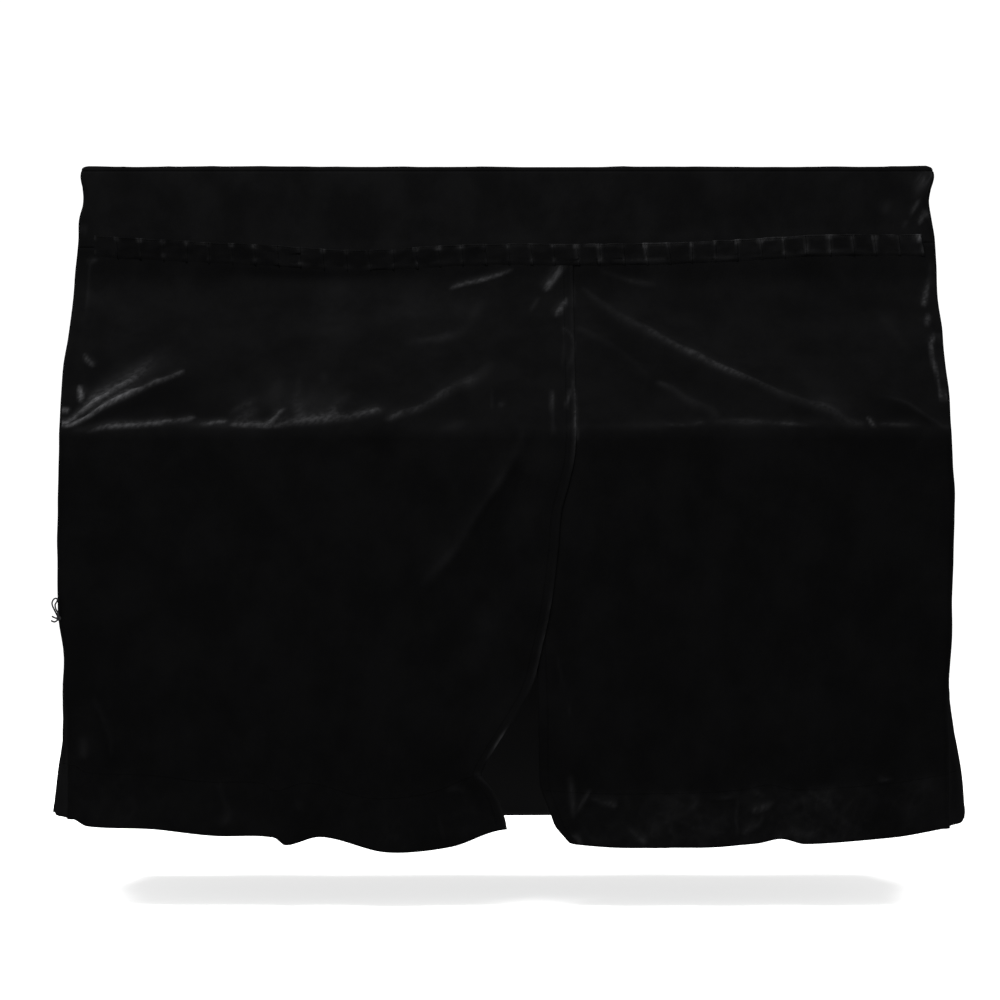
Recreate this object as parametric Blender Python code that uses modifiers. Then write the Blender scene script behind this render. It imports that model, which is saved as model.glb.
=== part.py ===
"""A fitted velvet cover for an upright piano, hanging as it hangs on the piano.

Metres, +Z up, the front facing -Y. The origin is under the middle of the top panel,
where the piano's lid carries it. A drop is a distance below that point.
The cloth goes over the lid, straight down the sides and the back, and at the front
over the fall board and the front edge of the key bed. The front is a valance and,
below a pleated heading band, two curtains that lap at the pedals.
"""

import math
from collections import namedtuple

import bmesh
import bpy
from mathutils import Vector

# The cloth and its seams.
CLOTH = 0.002
SEAM_GAP = 0.0005
SEAM_RADIUS = 0.014
FACETS = (0, 30, 60, 90)

# The piano under the cover sets these outer faces of the cloth.
TOP_HALF_DEPTH = 0.177
KEYBED_REACH = 0.270
SLOPE_START = 0.215
SLOPE_START_ROUND = 0.025
KEYBED_EDGE = 0.480
KEYBED_EDGE_ROUND = 0.011
TOP_ROUND = 0.005
TOP_RIM = 0.005
TOP_FLAT_INSET = 0.060
TOP_CORNER_RADIUS = 0.002

# Rows of the panels' grids, as drops, and how many rows the hanging skirt has.
UPPER_ROWS = (TOP_RIM + SEAM_GAP, 0.020, 0.050, 0.080, 0.115)
SLOPE_ROWS = (0.190, *(0.210 + 0.245 * step / 8 for step in range(9)))
EDGE_ROWS = (KEYBED_EDGE - 0.010, KEYBED_EDGE, KEYBED_EDGE + 0.010)
SKIRT_ROWS = 13
USUAL_HEM = 1.185
BACK_ROWS_ABOVE = 3
BACK_ROWS_BELOW = 6

# Columns of the panels' grids, without those of the rounded corners.
LEFT_COLUMNS = 34
RIGHT_COLUMNS = 26
SIDE_COLUMNS = 8
BACK_COLUMNS = 14
VALANCE_COLUMNS = 26

# The lap of the two curtains: the left one lies over the right one.
LAP_DEPTH = 0.006
LAP_CLEAR = 0.002
LAP_RAMP = 0.030

# The pleated heading band that is sewn over the seam of the valance and the curtains.
BAND_HEIGHT = 0.039
BAND_LEFT = -0.732
BAND_RIGHT = 0.748
BAND_PLEATS = 37
BAND_LIFT = 0.0003
BAND_EDGE_THICKNESS = 0.0018
BAND_PLEAT_THICKNESS = 0.0050
BAND_PLEAT_LOW = 0.0026
BAND_PLEAT_TURN = 0.06
BAND_STITCH_LINE = 0.72
BAND_PUFF = 0.55

Finish = namedtuple("Finish", "name colour roughness")
VELVET = Finish("velvet", (0.006, 0.006, 0.007, 1.0), 0.95)
PLEATED_VELVET = Finish("pleated_velvet", (0.009, 0.009, 0.010, 1.0), 0.90)
TIE_CORD = Finish("tie_cord", (0.030, 0.030, 0.032, 1.0), 0.80)

# How far the front corners stand from the middle, by drop.
Girth = namedtuple("Girth", "drop left right")
FRONT_GIRTHS = (
    Girth(0.000, 0.762, 0.766),
    Girth(0.016, 0.764, 0.769),
    Girth(0.052, 0.757, 0.761),
    Girth(0.092, 0.766, 0.765),
    Girth(0.128, 0.767, 0.771),
    Girth(0.200, 0.773, 0.774),
    Girth(0.386, 0.774, 0.772),
    Girth(0.480, 0.768, 0.768),
    Girth(0.600, 0.769, 0.772),
    Girth(0.780, 0.769, 0.768),
    Girth(0.850, 0.761, 0.766),
    Girth(0.940, 0.758, 0.760),
    Girth(1.020, 0.753, 0.763),
    Girth(1.160, 0.753, 0.764),
)
# The back corners hang almost plumb, and a side bellies out between its corners.
BACK_TOP_GIRTH = 0.765
BACK_KEYBED_GIRTH = 0.766
BACK_HEM_GIRTH = 0.776
Belly = namedtuple("Belly", "drop left right")
SIDE_BELLIES = (
    Belly(0.000, 0.000, 0.000),
    Belly(0.100, 0.003, 0.003),
    Belly(0.480, 0.005, 0.006),
    Belly(0.700, 0.008, 0.010),
    Belly(0.900, 0.014, 0.018),
    Belly(1.000, 0.027, 0.034),
    Belly(1.100, 0.045, 0.055),
    Belly(1.180, 0.055, 0.062),
)
# No fold comes this near a corner of the cover, and a fold fades in and out over this share of it.
PLAIN_BY_CORNER = 0.080
FOLD_FADE = 0.22
Ripple = namedtuple("Ripple", "at half_width height start")
SIDE_RIPPLES = (
    Ripple(0.20, 0.09, 0.010, 0.55),
    Ripple(0.45, 0.08, -0.009, 0.70),
    Ripple(0.72, 0.10, 0.012, 0.60),
)
BACK_RIPPLES = (
    Ripple(-0.52, 0.070, 0.012, 0.30),
    Ripple(-0.20, 0.090, 0.010, 0.45),
    Ripple(0.16, 0.075, 0.013, 0.25),
    Ripple(0.47, 0.080, 0.011, 0.40),
)

# The hem of the front, by distance from the middle, and the hem's drop elsewhere.
Hem = namedtuple("Hem", "x drop")
FRONT_HEM = (
    Hem(-0.753, 1.143),
    Hem(-0.730, 1.155),
    Hem(-0.609, 1.160),
    Hem(-0.507, 1.171),
    Hem(-0.404, 1.173),
    Hem(-0.383, 1.186),
    Hem(-0.321, 1.173),
    Hem(-0.207, 1.198),
    Hem(-0.095, 1.190),
    Hem(-0.003, 1.159),
    Hem(0.068, 1.166),
    Hem(0.124, 1.186),
    Hem(0.316, 1.191),
    Hem(0.440, 1.184),
    Hem(0.481, 1.176),
    Hem(0.522, 1.184),
    Hem(0.676, 1.174),
    Hem(0.764, 1.159),
)
BACK_HEM = 1.192
SIDE_HEM_RISE = 0.015

# The seam of the valance and the curtains sags towards the left.
Seam = namedtuple("Seam", "x drop")
HEADING_SEAM = (
    Seam(-0.765, 0.143),
    Seam(-0.610, 0.147),
    Seam(-0.450, 0.160),
    Seam(-0.368, 0.167),
    Seam(-0.260, 0.166),
    Seam(-0.135, 0.160),
    Seam(0.107, 0.148),
    Seam(0.348, 0.145),
    Seam(0.528, 0.142),
    Seam(0.671, 0.136),
    Seam(0.768, 0.134),
)

# The free edges of the two curtains. Below the lap they part round the pedals.
Edge = namedtuple("Edge", "drop x")
LEFT_EDGE = (
    Edge(0.150, 0.125),
    Edge(0.480, 0.118),
    Edge(0.592, 0.114),
    Edge(0.672, 0.088),
    Edge(0.784, 0.077),
    Edge(0.905, 0.051),
    Edge(0.958, 0.011),
    Edge(1.029, -0.021),
    Edge(1.058, -0.026),
    Edge(1.083, -0.010),
    Edge(1.118, 0.003),
    Edge(1.180, 0.002),
)
RIGHT_EDGE = (
    Edge(0.150, 0.070),
    Edge(0.480, 0.067),
    Edge(0.800, 0.052),
    Edge(0.938, 0.058),
    Edge(1.072, 0.058),
    Edge(1.118, 0.073),
    Edge(1.171, 0.104),
    Edge(1.188, 0.114),
)

# Raised folds of the front: drag lines from the head of the opening and from the key bed's corners.
Fold = namedtuple("Fold", "from_x from_drop to_x to_drop bow half_width height")
FRONT_FOLDS = (
    Fold(0.148, 0.219, 0.625, 0.474, 0.022, 0.026, 0.013),
    Fold(0.132, 0.294, 0.385, 0.466, 0.004, 0.024, 0.009),
    Fold(0.646, 0.420, 0.729, 0.468, 0.000, 0.024, 0.008),
    Fold(-0.027, 0.355, -0.300, 0.462, 0.014, 0.030, 0.012),
    Fold(-0.567, 0.376, -0.740, 0.462, 0.008, 0.026, 0.011),
    Fold(0.017, 0.205, -0.102, 0.228, 0.000, 0.024, 0.006),
    Fold(0.025, 0.500, -0.138, 0.749, 0.020, 0.030, 0.009),
    Fold(-0.704, 0.850, -0.661, 1.058, 0.000, 0.030, 0.008),
    Fold(0.100, 0.906, 0.116, 1.079, 0.000, 0.026, 0.007),
    Fold(0.088, 0.225, 0.084, 0.470, 0.000, 0.020, 0.005),
)
# Upright ripples that grow towards the front's hem, and the left curtain's edge curling forward.
FRONT_RIPPLES = (
    Ripple(-0.560, 0.050, 0.008, 0.70),
    Ripple(-0.385, 0.035, 0.012, 0.85),
    Ripple(-0.210, 0.055, 0.014, 0.75),
    Ripple(0.200, 0.050, 0.008, 0.85),
    Ripple(0.360, 0.045, 0.010, 0.80),
    Ripple(0.520, 0.050, 0.012, 0.80),
)
CURL_START = 0.860
CURL_FULL = 1.020
CURL_WIDTH = 0.050
CURL_HEIGHT = 0.016

# A cord tie on the seam of the left side and the front, a half bow: its cord runs from
# the knot round a loop, back through the knot and to a free end; the other end is short.
TIE_RADIUS = 0.0014
TIE_KNOT_RADIUS = 0.0040
TIE_DROP = 0.798
TIE_STAND_OFF = 0.0003
TIE_STEPS = 2
TiePoint = namedtuple("TiePoint", "out back drop")
TIE_ROUTE = (
    TiePoint(0.0000, 0.000, 0.0000),
    TiePoint(0.0030, -0.001, -0.0060),
    TiePoint(0.0060, -0.001, -0.0120),
    TiePoint(0.0095, -0.001, -0.0170),
    TiePoint(0.0120, -0.001, -0.0220),
    TiePoint(0.0125, -0.001, -0.0270),
    TiePoint(0.0100, -0.001, -0.0315),
    TiePoint(0.0050, -0.001, -0.0340),
    TiePoint(0.0000, -0.001, -0.0335),
    TiePoint(-0.0035, -0.002, -0.0300),
    TiePoint(-0.0045, -0.002, -0.0240),
    TiePoint(-0.0040, -0.002, -0.0170),
    TiePoint(-0.0030, -0.002, -0.0090),
    TiePoint(0.0000, 0.000, 0.0000),
    TiePoint(0.0030, -0.001, 0.0050),
    TiePoint(0.0065, -0.002, 0.0085),
    TiePoint(0.0100, -0.002, 0.0080),
    TiePoint(0.0135, -0.002, 0.0050),
)
TIE_SHORT_END = (
    TiePoint(0.0000, 0.000, 0.0000),
    TiePoint(0.0045, 0.001, -0.0005),
    TiePoint(0.0090, 0.001, -0.0025),
    TiePoint(0.0135, 0.000, -0.0045),
)


def clear_scene():
    for thing in list(bpy.data.objects):
        bpy.data.objects.remove(thing)


def material(finish):
    """A cloth finish: a plain Principled surface that isn't metal."""
    made = bpy.data.materials.new(finish.name)
    made.use_nodes = True
    shader = made.node_tree.nodes["Principled BSDF"]
    shader.inputs["Base Color"].default_value = finish.colour
    shader.inputs["Roughness"].default_value = finish.roughness
    shader.inputs["Metallic"].default_value = 0.0
    return made


def eased(value, low, high):
    """0 below low, 1 above high, and a smooth ramp between them."""
    share = min(1.0, max(0.0, (value - low) / (high - low)))
    return share * share * (3 - 2 * share)


def mixed(a, b, share):
    return a + (b - a) * share


def along(rows, at):
    """The height at that place of the smooth curve through rows of (place, height)."""
    at = min(max(at, rows[0][0]), rows[-1][0])
    index = next(i for i in range(1, len(rows)) if at <= rows[i][0])
    (x0, y0), (x1, y1) = rows[index - 1], rows[index]
    before = rows[index - 2] if index > 1 else rows[0]
    after = rows[index + 1] if index + 1 < len(rows) else rows[-1]
    slope_in = (y1 - before[1]) / (x1 - before[0])
    slope_out = (after[1] - y0) / (after[0] - x0)
    width = x1 - x0
    t = (at - x0) / width
    return (
        y0 * (2 * t**3 - 3 * t**2 + 1)
        + slope_in * width * (t**3 - 2 * t**2 + t)
        + y1 * (3 * t**2 - 2 * t**3)
        + slope_out * width * (t**3 - t**2)
    )


def bent(value, corner, rounding):
    """0 before the corner and value - corner after it, rounded over the corner."""
    past = value - corner
    if past <= -rounding:
        return 0.0
    if past >= rounding:
        return past
    return (past + rounding) ** 2 / (4 * rounding)


def front_face(drop):
    """The y of the front cloth's outer face."""
    steepness = KEYBED_REACH / (KEYBED_EDGE - SLOPE_START)
    going_out = bent(drop, SLOPE_START, SLOPE_START_ROUND)
    return -TOP_HALF_DEPTH - steepness * (
        going_out - bent(drop, KEYBED_EDGE, KEYBED_EDGE_ROUND)
    )


def front_normal(drop):
    """The direction out of the front cloth, which tilts up on the slope."""
    reach = 0.002
    lean = (front_face(drop - reach) - front_face(drop + reach)) / (2 * reach)
    return Vector((0, -1, lean)).normalized()


def front_girth(side, drop):
    """How far the front corner of that side, -1 left or 1 right, is from the middle."""
    return along([(g.drop, g.left if side < 0 else g.right) for g in FRONT_GIRTHS], drop)


def back_girth(drop):
    if drop < KEYBED_EDGE:
        return mixed(BACK_TOP_GIRTH, BACK_KEYBED_GIRTH, drop / KEYBED_EDGE)
    below = (drop - KEYBED_EDGE) / (BACK_HEM - KEYBED_EDGE)
    return mixed(BACK_KEYBED_GIRTH, BACK_HEM_GIRTH, below)


def front_hem(x):
    return along([(h.x, h.drop) for h in FRONT_HEM], x)


def heading_seam(x):
    return along([(s.x, s.drop) for s in HEADING_SEAM], x)


def edge_of(edge, drop):
    return along([(e.drop, e.x) for e in edge], drop)


def row_drops(seam_drop, hem_drop):
    """The drops of every row of a place where the heading seam and the hem lie that low."""
    start = EDGE_ROWS[-1]
    skirt = [mixed(start, hem_drop, step / SKIRT_ROWS) for step in range(1, SKIRT_ROWS + 1)]
    return [*UPPER_ROWS, seam_drop, *SLOPE_ROWS, *EDGE_ROWS, *skirt]


SEAM_ROW = len(UPPER_ROWS)
LAST_ROW = len(row_drops(0, USUAL_HEM)) - 1


def corner_facets(side, end, drop):
    """The facet corners of an upright corner of the cover, from the side's face to the end's.

    side is -1 left or 1 right, and end is -1 front or 1 back.
    """
    girth = front_girth(side, drop) if end < 0 else back_girth(drop)
    face = front_face(drop) if end < 0 else TOP_HALF_DEPTH
    centre = Vector((side * (girth - SEAM_RADIUS), face - end * SEAM_RADIUS, -drop))
    return [
        centre
        + SEAM_RADIUS
        * Vector((side * math.cos(math.radians(a)), end * math.sin(math.radians(a)), 0))
        for a in FACETS
    ]


def corner_of_side(side, end, drop):
    """A side panel's last points round a corner: its face, a facet corner and the seam."""
    face, first, second, _ = corner_facets(side, end, drop)
    along_facet = (second - first).normalized()
    return [face, first, (first + second) / 2 - along_facet * SEAM_GAP / 2]


def corner_of_end(side, end, drop):
    """The same for the front's or the back's cloth, on the other side of the seam."""
    _, first, second, face = corner_facets(side, end, drop)
    along_facet = (second - first).normalized()
    return [face, second, (first + second) / 2 + along_facet * SEAM_GAP / 2]


def fold_height(x, drop):
    """How far the front's drag lines raise the cloth there."""
    height = 0.0
    for fold in FRONT_FOLDS:
        start = Vector((fold.from_x, fold.from_drop))
        run = Vector((fold.to_x, fold.to_drop)) - start
        past = Vector((x, drop)) - start
        share = past.dot(run) / run.length_squared
        if not -FOLD_FADE < share < 1 + FOLD_FADE:
            continue
        bow = fold.bow * 4 * share * (1 - share) * math.copysign(1, run.x)
        aside = run.normalized().cross(past) - bow
        fade = eased(share, -FOLD_FADE, FOLD_FADE) * (1 - eased(share, 1 - FOLD_FADE, 1 + FOLD_FADE))
        height += fold.height * fade * math.exp(-((aside / fold.half_width) ** 2))
    return height


def ripple_height(ripples, at, drop, hem_drop):
    """How far upright ripples push the cloth out, growing from their start to the hem."""
    return sum(
        ripple.height
        * eased(drop, ripple.start, hem_drop)
        * math.exp(-(((at - ripple.at) / ripple.half_width) ** 2))
        for ripple in ripples
    )


def front_relief(x, drop, hem_drop):
    """How far the front cloth stands off its plain profile, none at its corners and its top."""
    to_corner = min(x + front_girth(-1, drop), front_girth(1, drop) - x)
    below_band = eased(drop, SLOPE_ROWS[0], SLOPE_START + SLOPE_START_ROUND)
    still = below_band * eased(to_corner, SEAM_RADIUS, PLAIN_BY_CORNER)
    return still * (
        fold_height(x, drop) + ripple_height(FRONT_RIPPLES, x, drop, hem_drop)
    )


def on_front(x, drop, relief):
    return Vector((x, front_face(drop), -drop)) + front_normal(drop) * relief


def left_curl(x, drop):
    """How far the left curtain's free edge curls forward where the curtains part."""
    near = 1 - eased(edge_of(LEFT_EDGE, drop) - x, 0, CURL_WIDTH)
    return CURL_HEIGHT * near * eased(drop, CURL_START, CURL_FULL)


def right_lap(x, drop):
    """How far the right curtain lies behind, where the left one covers it."""
    cover = edge_of(LEFT_EDGE, drop) + LAP_CLEAR
    return -LAP_DEPTH * (1 - eased(x, cover, cover + LAP_RAMP))


def left_curtain(column, row):
    """Columns run from the left corner seam to the free edge."""
    corner_x = -front_girth(-1, USUAL_HEM)
    corner_drop = curtain_drop(corner_x, row)
    corner = corner_of_end(-1, -1, corner_drop)
    if column < 2:
        return corner[2 - column]
    share = (column - 2) / LEFT_COLUMNS
    usual = row_drops(heading_seam(0), USUAL_HEM)[SEAM_ROW + row]
    at_hem = mixed(corner_x, edge_of(LEFT_EDGE, USUAL_HEM), share)
    x = mixed(corner[0].x, edge_of(LEFT_EDGE, usual), share)
    drop = curtain_drop(at_hem if row > len(SLOPE_ROWS) else x, row)
    relief = front_relief(x, drop, front_hem(at_hem))
    return on_front(x, drop, relief + left_curl(x, usual))


def right_curtain(column, row):
    """Columns run from the free edge, under the left curtain, to the right corner seam."""
    corner_x = front_girth(1, USUAL_HEM)
    corner_drop = curtain_drop(corner_x, row)
    corner = corner_of_end(1, -1, corner_drop)
    columns = RIGHT_COLUMNS + 2
    if column > columns:
        return corner[column - columns]
    usual = row_drops(heading_seam(0), USUAL_HEM)[SEAM_ROW + row]
    x = right_column_x(column, usual, corner[0].x)
    at_hem = right_column_x(column, USUAL_HEM, corner_x)
    drop = curtain_drop(at_hem if row > len(SLOPE_ROWS) else x, row)
    relief = front_relief(x, drop, front_hem(at_hem))
    return on_front(x, drop, relief + right_lap(x, usual))


def right_column_x(column, drop, corner_x):
    """The free edge, the two ends of the ramp beside the lap, and even steps to the corner."""
    free = edge_of(RIGHT_EDGE, drop)
    lapped = max(edge_of(LEFT_EDGE, drop) + LAP_CLEAR, free + LAP_RAMP)
    if column < 2:
        return (free, lapped)[column]
    return mixed(lapped + LAP_RAMP, corner_x, (column - 2) / RIGHT_COLUMNS)


def curtain_drop(x, row):
    """The drop of a curtain's row, counted from the heading seam."""
    seam_drop = heading_seam(x)
    if row == 0:
        return seam_drop + SEAM_GAP
    return row_drops(seam_drop, front_hem(x))[SEAM_ROW + row]


def valance(column, row):
    """Columns run from the left corner seam to the right one."""

    def drop_at(x):
        return row_drops(heading_seam(x), USUAL_HEM)[row]

    left = corner_of_end(-1, -1, drop_at(-front_girth(-1, 0)))
    right = corner_of_end(1, -1, drop_at(front_girth(1, 0)))
    if column < 2:
        return left[2 - column]
    if column > VALANCE_COLUMNS + 2:
        return right[column - VALANCE_COLUMNS - 2]
    x = mixed(left[0].x, right[0].x, (column - 2) / VALANCE_COLUMNS)
    return on_front(x, drop_at(x), 0)


def side_panel(side):
    """A side's grid: columns run the way that turns the cloth's face outwards."""

    def place(column, row):
        seam_drop = heading_seam(side * front_girth(side, 0))
        front_drop = row_drops(seam_drop, front_hem(side * front_girth(side, USUAL_HEM)))[row]
        back_drop = row_drops(seam_drop, BACK_HEM)[row]
        front = corner_of_side(side, -1, front_drop)
        back = corner_of_side(side, 1, back_drop)
        # From here on, columns are counted from the front.
        column = column if side > 0 else SIDE_COLUMNS + 4 - column
        if column < 2:
            return front[2 - column]
        if column > SIDE_COLUMNS + 2:
            return back[column - SIDE_COLUMNS - 2]
        share = (column - 2) / SIDE_COLUMNS
        point = mixed(front[0], back[0], share)
        drop = -point.z
        belly = along([(b.drop, b.left if side < 0 else b.right) for b in SIDE_BELLIES], drop)
        swell = math.sin(math.pi * share) ** 2
        ripple = ripple_height(SIDE_RIPPLES, share, drop, BACK_HEM)
        out = belly * swell + ripple * min(1.0, 4 * swell)
        point.x += side * out
        point.z += SIDE_HEM_RISE * swell * eased(drop, KEYBED_EDGE, BACK_HEM)
        return point

    return place


def back_panel(column, row):
    """Columns run from the right corner seam to the left one."""
    if row <= BACK_ROWS_ABOVE:
        drop = mixed(UPPER_ROWS[0], KEYBED_EDGE, row / BACK_ROWS_ABOVE)
    else:
        drop = mixed(KEYBED_EDGE, BACK_HEM, (row - BACK_ROWS_ABOVE) / BACK_ROWS_BELOW)
    right = corner_of_end(1, 1, drop)
    left = corner_of_end(-1, 1, drop)
    if column < 2:
        return right[2 - column]
    if column > BACK_COLUMNS + 2:
        return left[column - BACK_COLUMNS - 2]
    point = mixed(right[0], left[0], (column - 2) / BACK_COLUMNS)
    to_corner = back_girth(drop) - abs(point.x)
    point.y += eased(to_corner, SEAM_RADIUS, PLAIN_BY_CORNER) * ripple_height(
        BACK_RIPPLES, point.x, drop, BACK_HEM
    )
    return point


def linked(name, mesh, finish, collection):
    thing = bpy.data.objects.new(name, mesh)
    thing.data.materials.append(finish)
    collection.objects.link(thing)
    return thing


def grid(columns, rows, place):
    """A grid of faces whose points place gives by column and row, row 0 at the top."""
    shape = bmesh.new()
    bmesh.ops.create_grid(shape, x_segments=columns, y_segments=rows, size=0.5)
    for point in shape.verts:
        column = round((point.co.x + 0.5) * columns)
        row = round((0.5 - point.co.y) * rows)
        point.co = place(column, row)
    return shape


def finished(shape, name):
    mesh = bpy.data.meshes.new(name)
    shape.to_mesh(mesh)
    shape.free()
    mesh.shade_smooth()
    return mesh


def thickened(thing):
    """Gives an open sheet the cloth's thickness, inwards from its outer face."""
    modifier = thing.modifiers.new("cloth", "SOLIDIFY")
    modifier.thickness = CLOTH
    modifier.offset = -1.0
    modifier.use_even_offset = True
    modifier.use_quality_normals = True
    return thing


def sheet(name, columns, rows, place, finish, collection):
    """An open grid made cloth. Its squares are split along the folds that cross them."""
    shape = grid(columns, rows, place)
    bmesh.ops.triangulate(shape, faces=shape.faces, quad_method="SHORT_EDGE")
    return thickened(linked(name, finished(shape, name), finish, collection))


def top_outline(inset, height):
    """The top panel's outline, drawn in by inset, once round from the front left corner."""
    loop = []
    for side, end in ((-1, -1), (1, -1), (1, 1), (-1, 1)):
        girth = front_girth(side, 0) if end < 0 else back_girth(0)
        radius = max(SEAM_RADIUS - inset, TOP_CORNER_RADIUS)
        centre = Vector((side * (girth - inset - radius), end * (TOP_HALF_DEPTH - inset - radius)))
        angles = FACETS if side * end > 0 else FACETS[::-1]
        for a in angles:
            turn = Vector((side * math.cos(math.radians(a)), end * math.sin(math.radians(a))))
            point = centre + radius * turn
            loop.append(Vector((point.x, point.y, height)))
    return loop


def build_top(finish, collection):
    """The top panel: a flat sheet whose rim turns down to the seam all round."""
    turn = [math.radians(a) for a in (0, 45, 90)]
    rings = [(0.0, -TOP_RIM)] + [
        (TOP_ROUND * (1 - math.cos(a)), CLOTH - TOP_ROUND * (1 - math.sin(a))) for a in turn
    ]
    rings.append((TOP_FLAT_INSET, CLOTH))
    loops = [top_outline(inset, height) for inset, height in rings]
    around = len(loops[0])
    last = len(rings) - 1
    shape = grid(around, last, lambda column, row: loops[last - row][column % around])
    bmesh.ops.remove_doubles(shape, verts=shape.verts, dist=1e-6)
    middle = [e for e in shape.edges if e.is_boundary and e.verts[0].co.z > CLOTH / 2]
    bmesh.ops.contextual_create(shape, geom=middle)
    bmesh.ops.recalc_face_normals(shape, faces=shape.faces)
    thickened(linked("top_panel", finished(shape, "top_panel"), finish, collection))


def band_thickness(share, height_share):
    """The band's thickness over one pleat, and from its middle, 0, to its stitched edges, 1."""
    lapped = mixed(BAND_PLEAT_THICKNESS, BAND_PLEAT_LOW, share)
    return mixed(lapped, BAND_EDGE_THICKNESS, eased(height_share, BAND_PUFF, 1.0))


def build_band(finish, collection):
    """The heading band: flat lapped pleats, stitched down along both edges, with a flat back."""
    heights = (-1.0, -BAND_STITCH_LINE, 0.0, BAND_STITCH_LINE, 1.0)
    pitch = (BAND_RIGHT - BAND_LEFT) / BAND_PLEATS
    back = -TOP_HALF_DEPTH - BAND_LIFT

    def place(column, row):
        pleat, step = divmod(column, 2)
        share = (0.0, 1.0 - BAND_PLEAT_TURN)[step]
        if pleat == BAND_PLEATS:
            share = 0.0
        x = BAND_LEFT + (pleat + share) * pitch
        up = heights[len(heights) - 1 - row]
        thickness = band_thickness(share, abs(up))
        return Vector((x, back - thickness, -heading_seam(x) + up * BAND_HEIGHT / 2))

    shape = grid(2 * BAND_PLEATS, len(heights) - 1, place)
    made = bmesh.ops.extrude_face_region(shape, geom=shape.faces[:])
    for part in made["geom"]:
        if isinstance(part, bmesh.types.BMVert):
            part.co.y = back
    bmesh.ops.recalc_face_normals(shape, faces=shape.faces)
    mesh = finished(shape, "heading_band")
    mesh.set_sharp_from_angle(angle=math.radians(30))
    linked("heading_band", mesh, finish, collection)


def smooth_route(points, steps):
    """Points along a smooth curve through the given ones, so many steps for each."""
    tables = [[(index, point[axis]) for index, point in enumerate(points)] for axis in range(3)]
    last = steps * (len(points) - 1)
    return [TiePoint(*(along(t, step / steps) for t in tables)) for step in range(last + 1)]


def tie_tube(name, points, knot, collection):
    """A length of the tie's cord as a closed mesh, from points told from the knot."""
    route = smooth_route(points, TIE_STEPS)
    curve = bpy.data.curves.new(name, "CURVE")
    curve.dimensions = "3D"
    curve.bevel_depth = TIE_RADIUS
    curve.bevel_resolution = 2
    curve.use_fill_caps = True
    spline = curve.splines.new("POLY")
    spline.points.add(len(route) - 1)
    for point, step in zip(spline.points, route):
        place = knot + Vector((-step.out, step.back, -step.drop))
        point.co = (*place, 1.0)
    thing = bpy.data.objects.new(name, curve)
    collection.objects.link(thing)
    graph = bpy.context.evaluated_depsgraph_get()
    mesh = bpy.data.meshes.new_from_object(thing.evaluated_get(graph))
    bpy.data.objects.remove(thing)
    shape = bmesh.new()
    shape.from_mesh(mesh)
    bmesh.ops.remove_doubles(shape, verts=shape.verts, dist=1e-6)
    shape.to_mesh(mesh)
    shape.free()
    tube = bpy.data.objects.new(name, mesh)
    tube.hide_render = True
    tube.display_type = "WIRE"
    collection.objects.link(tube)
    return tube


def build_tie(finish, collection, helpers):
    """The tie: its knot lies on the corner seam, and its cord and its short end join it."""
    _, _, seam = corner_of_side(-1, -1, TIE_DROP)
    outwards = Vector((-1, -1, 0)).normalized()
    knot = seam + outwards * (TIE_KNOT_RADIUS + TIE_STAND_OFF)
    shape = bmesh.new()
    bmesh.ops.create_icosphere(shape, subdivisions=2, radius=TIE_KNOT_RADIUS)
    for point in shape.verts:
        point.co = knot + point.co
    tie = linked("side_tie", finished(shape, "side_tie"), finish, collection)
    for name, points in (("tie_route", TIE_ROUTE), ("tie_short_end", TIE_SHORT_END)):
        modifier = tie.modifiers.new(name, "BOOLEAN")
        modifier.operation = "UNION"
        modifier.use_self = True
        modifier.object = tie_tube(name, points, knot, helpers)


def main():
    clear_scene()
    cover = bpy.data.collections.new("piano_cover")
    helpers = bpy.data.collections.new("helpers")
    for collection in (cover, helpers):
        bpy.context.scene.collection.children.link(collection)
    velvet = material(VELVET)

    curtain_rows = LAST_ROW - SEAM_ROW
    build_top(velvet, cover)
    sheet("valance", VALANCE_COLUMNS + 4, SEAM_ROW, valance, velvet, cover)
    sheet("front_left", LEFT_COLUMNS + 2, curtain_rows, left_curtain, velvet, cover)
    sheet("front_right", RIGHT_COLUMNS + 4, curtain_rows, right_curtain, velvet, cover)
    sheet("side_left", SIDE_COLUMNS + 4, LAST_ROW, side_panel(-1), velvet, cover)
    sheet("side_right", SIDE_COLUMNS + 4, LAST_ROW, side_panel(1), velvet, cover)
    back_rows = BACK_ROWS_ABOVE + BACK_ROWS_BELOW
    sheet("back_panel", BACK_COLUMNS + 4, back_rows, back_panel, velvet, cover)
    build_band(material(PLEATED_VELVET), cover)
    build_tie(material(TIE_CORD), cover, helpers)


main()
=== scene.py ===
"""The looks of a fitted velvet cover for an upright piano, hanging as it hangs on the piano.

Metres, +Z up, the front facing -Y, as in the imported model. A drop is a distance below the
underside of the top panel. After the camera, each section makes one piece or a like pair,
and the studio comes last.
"""

import math
from collections import namedtuple

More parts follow.
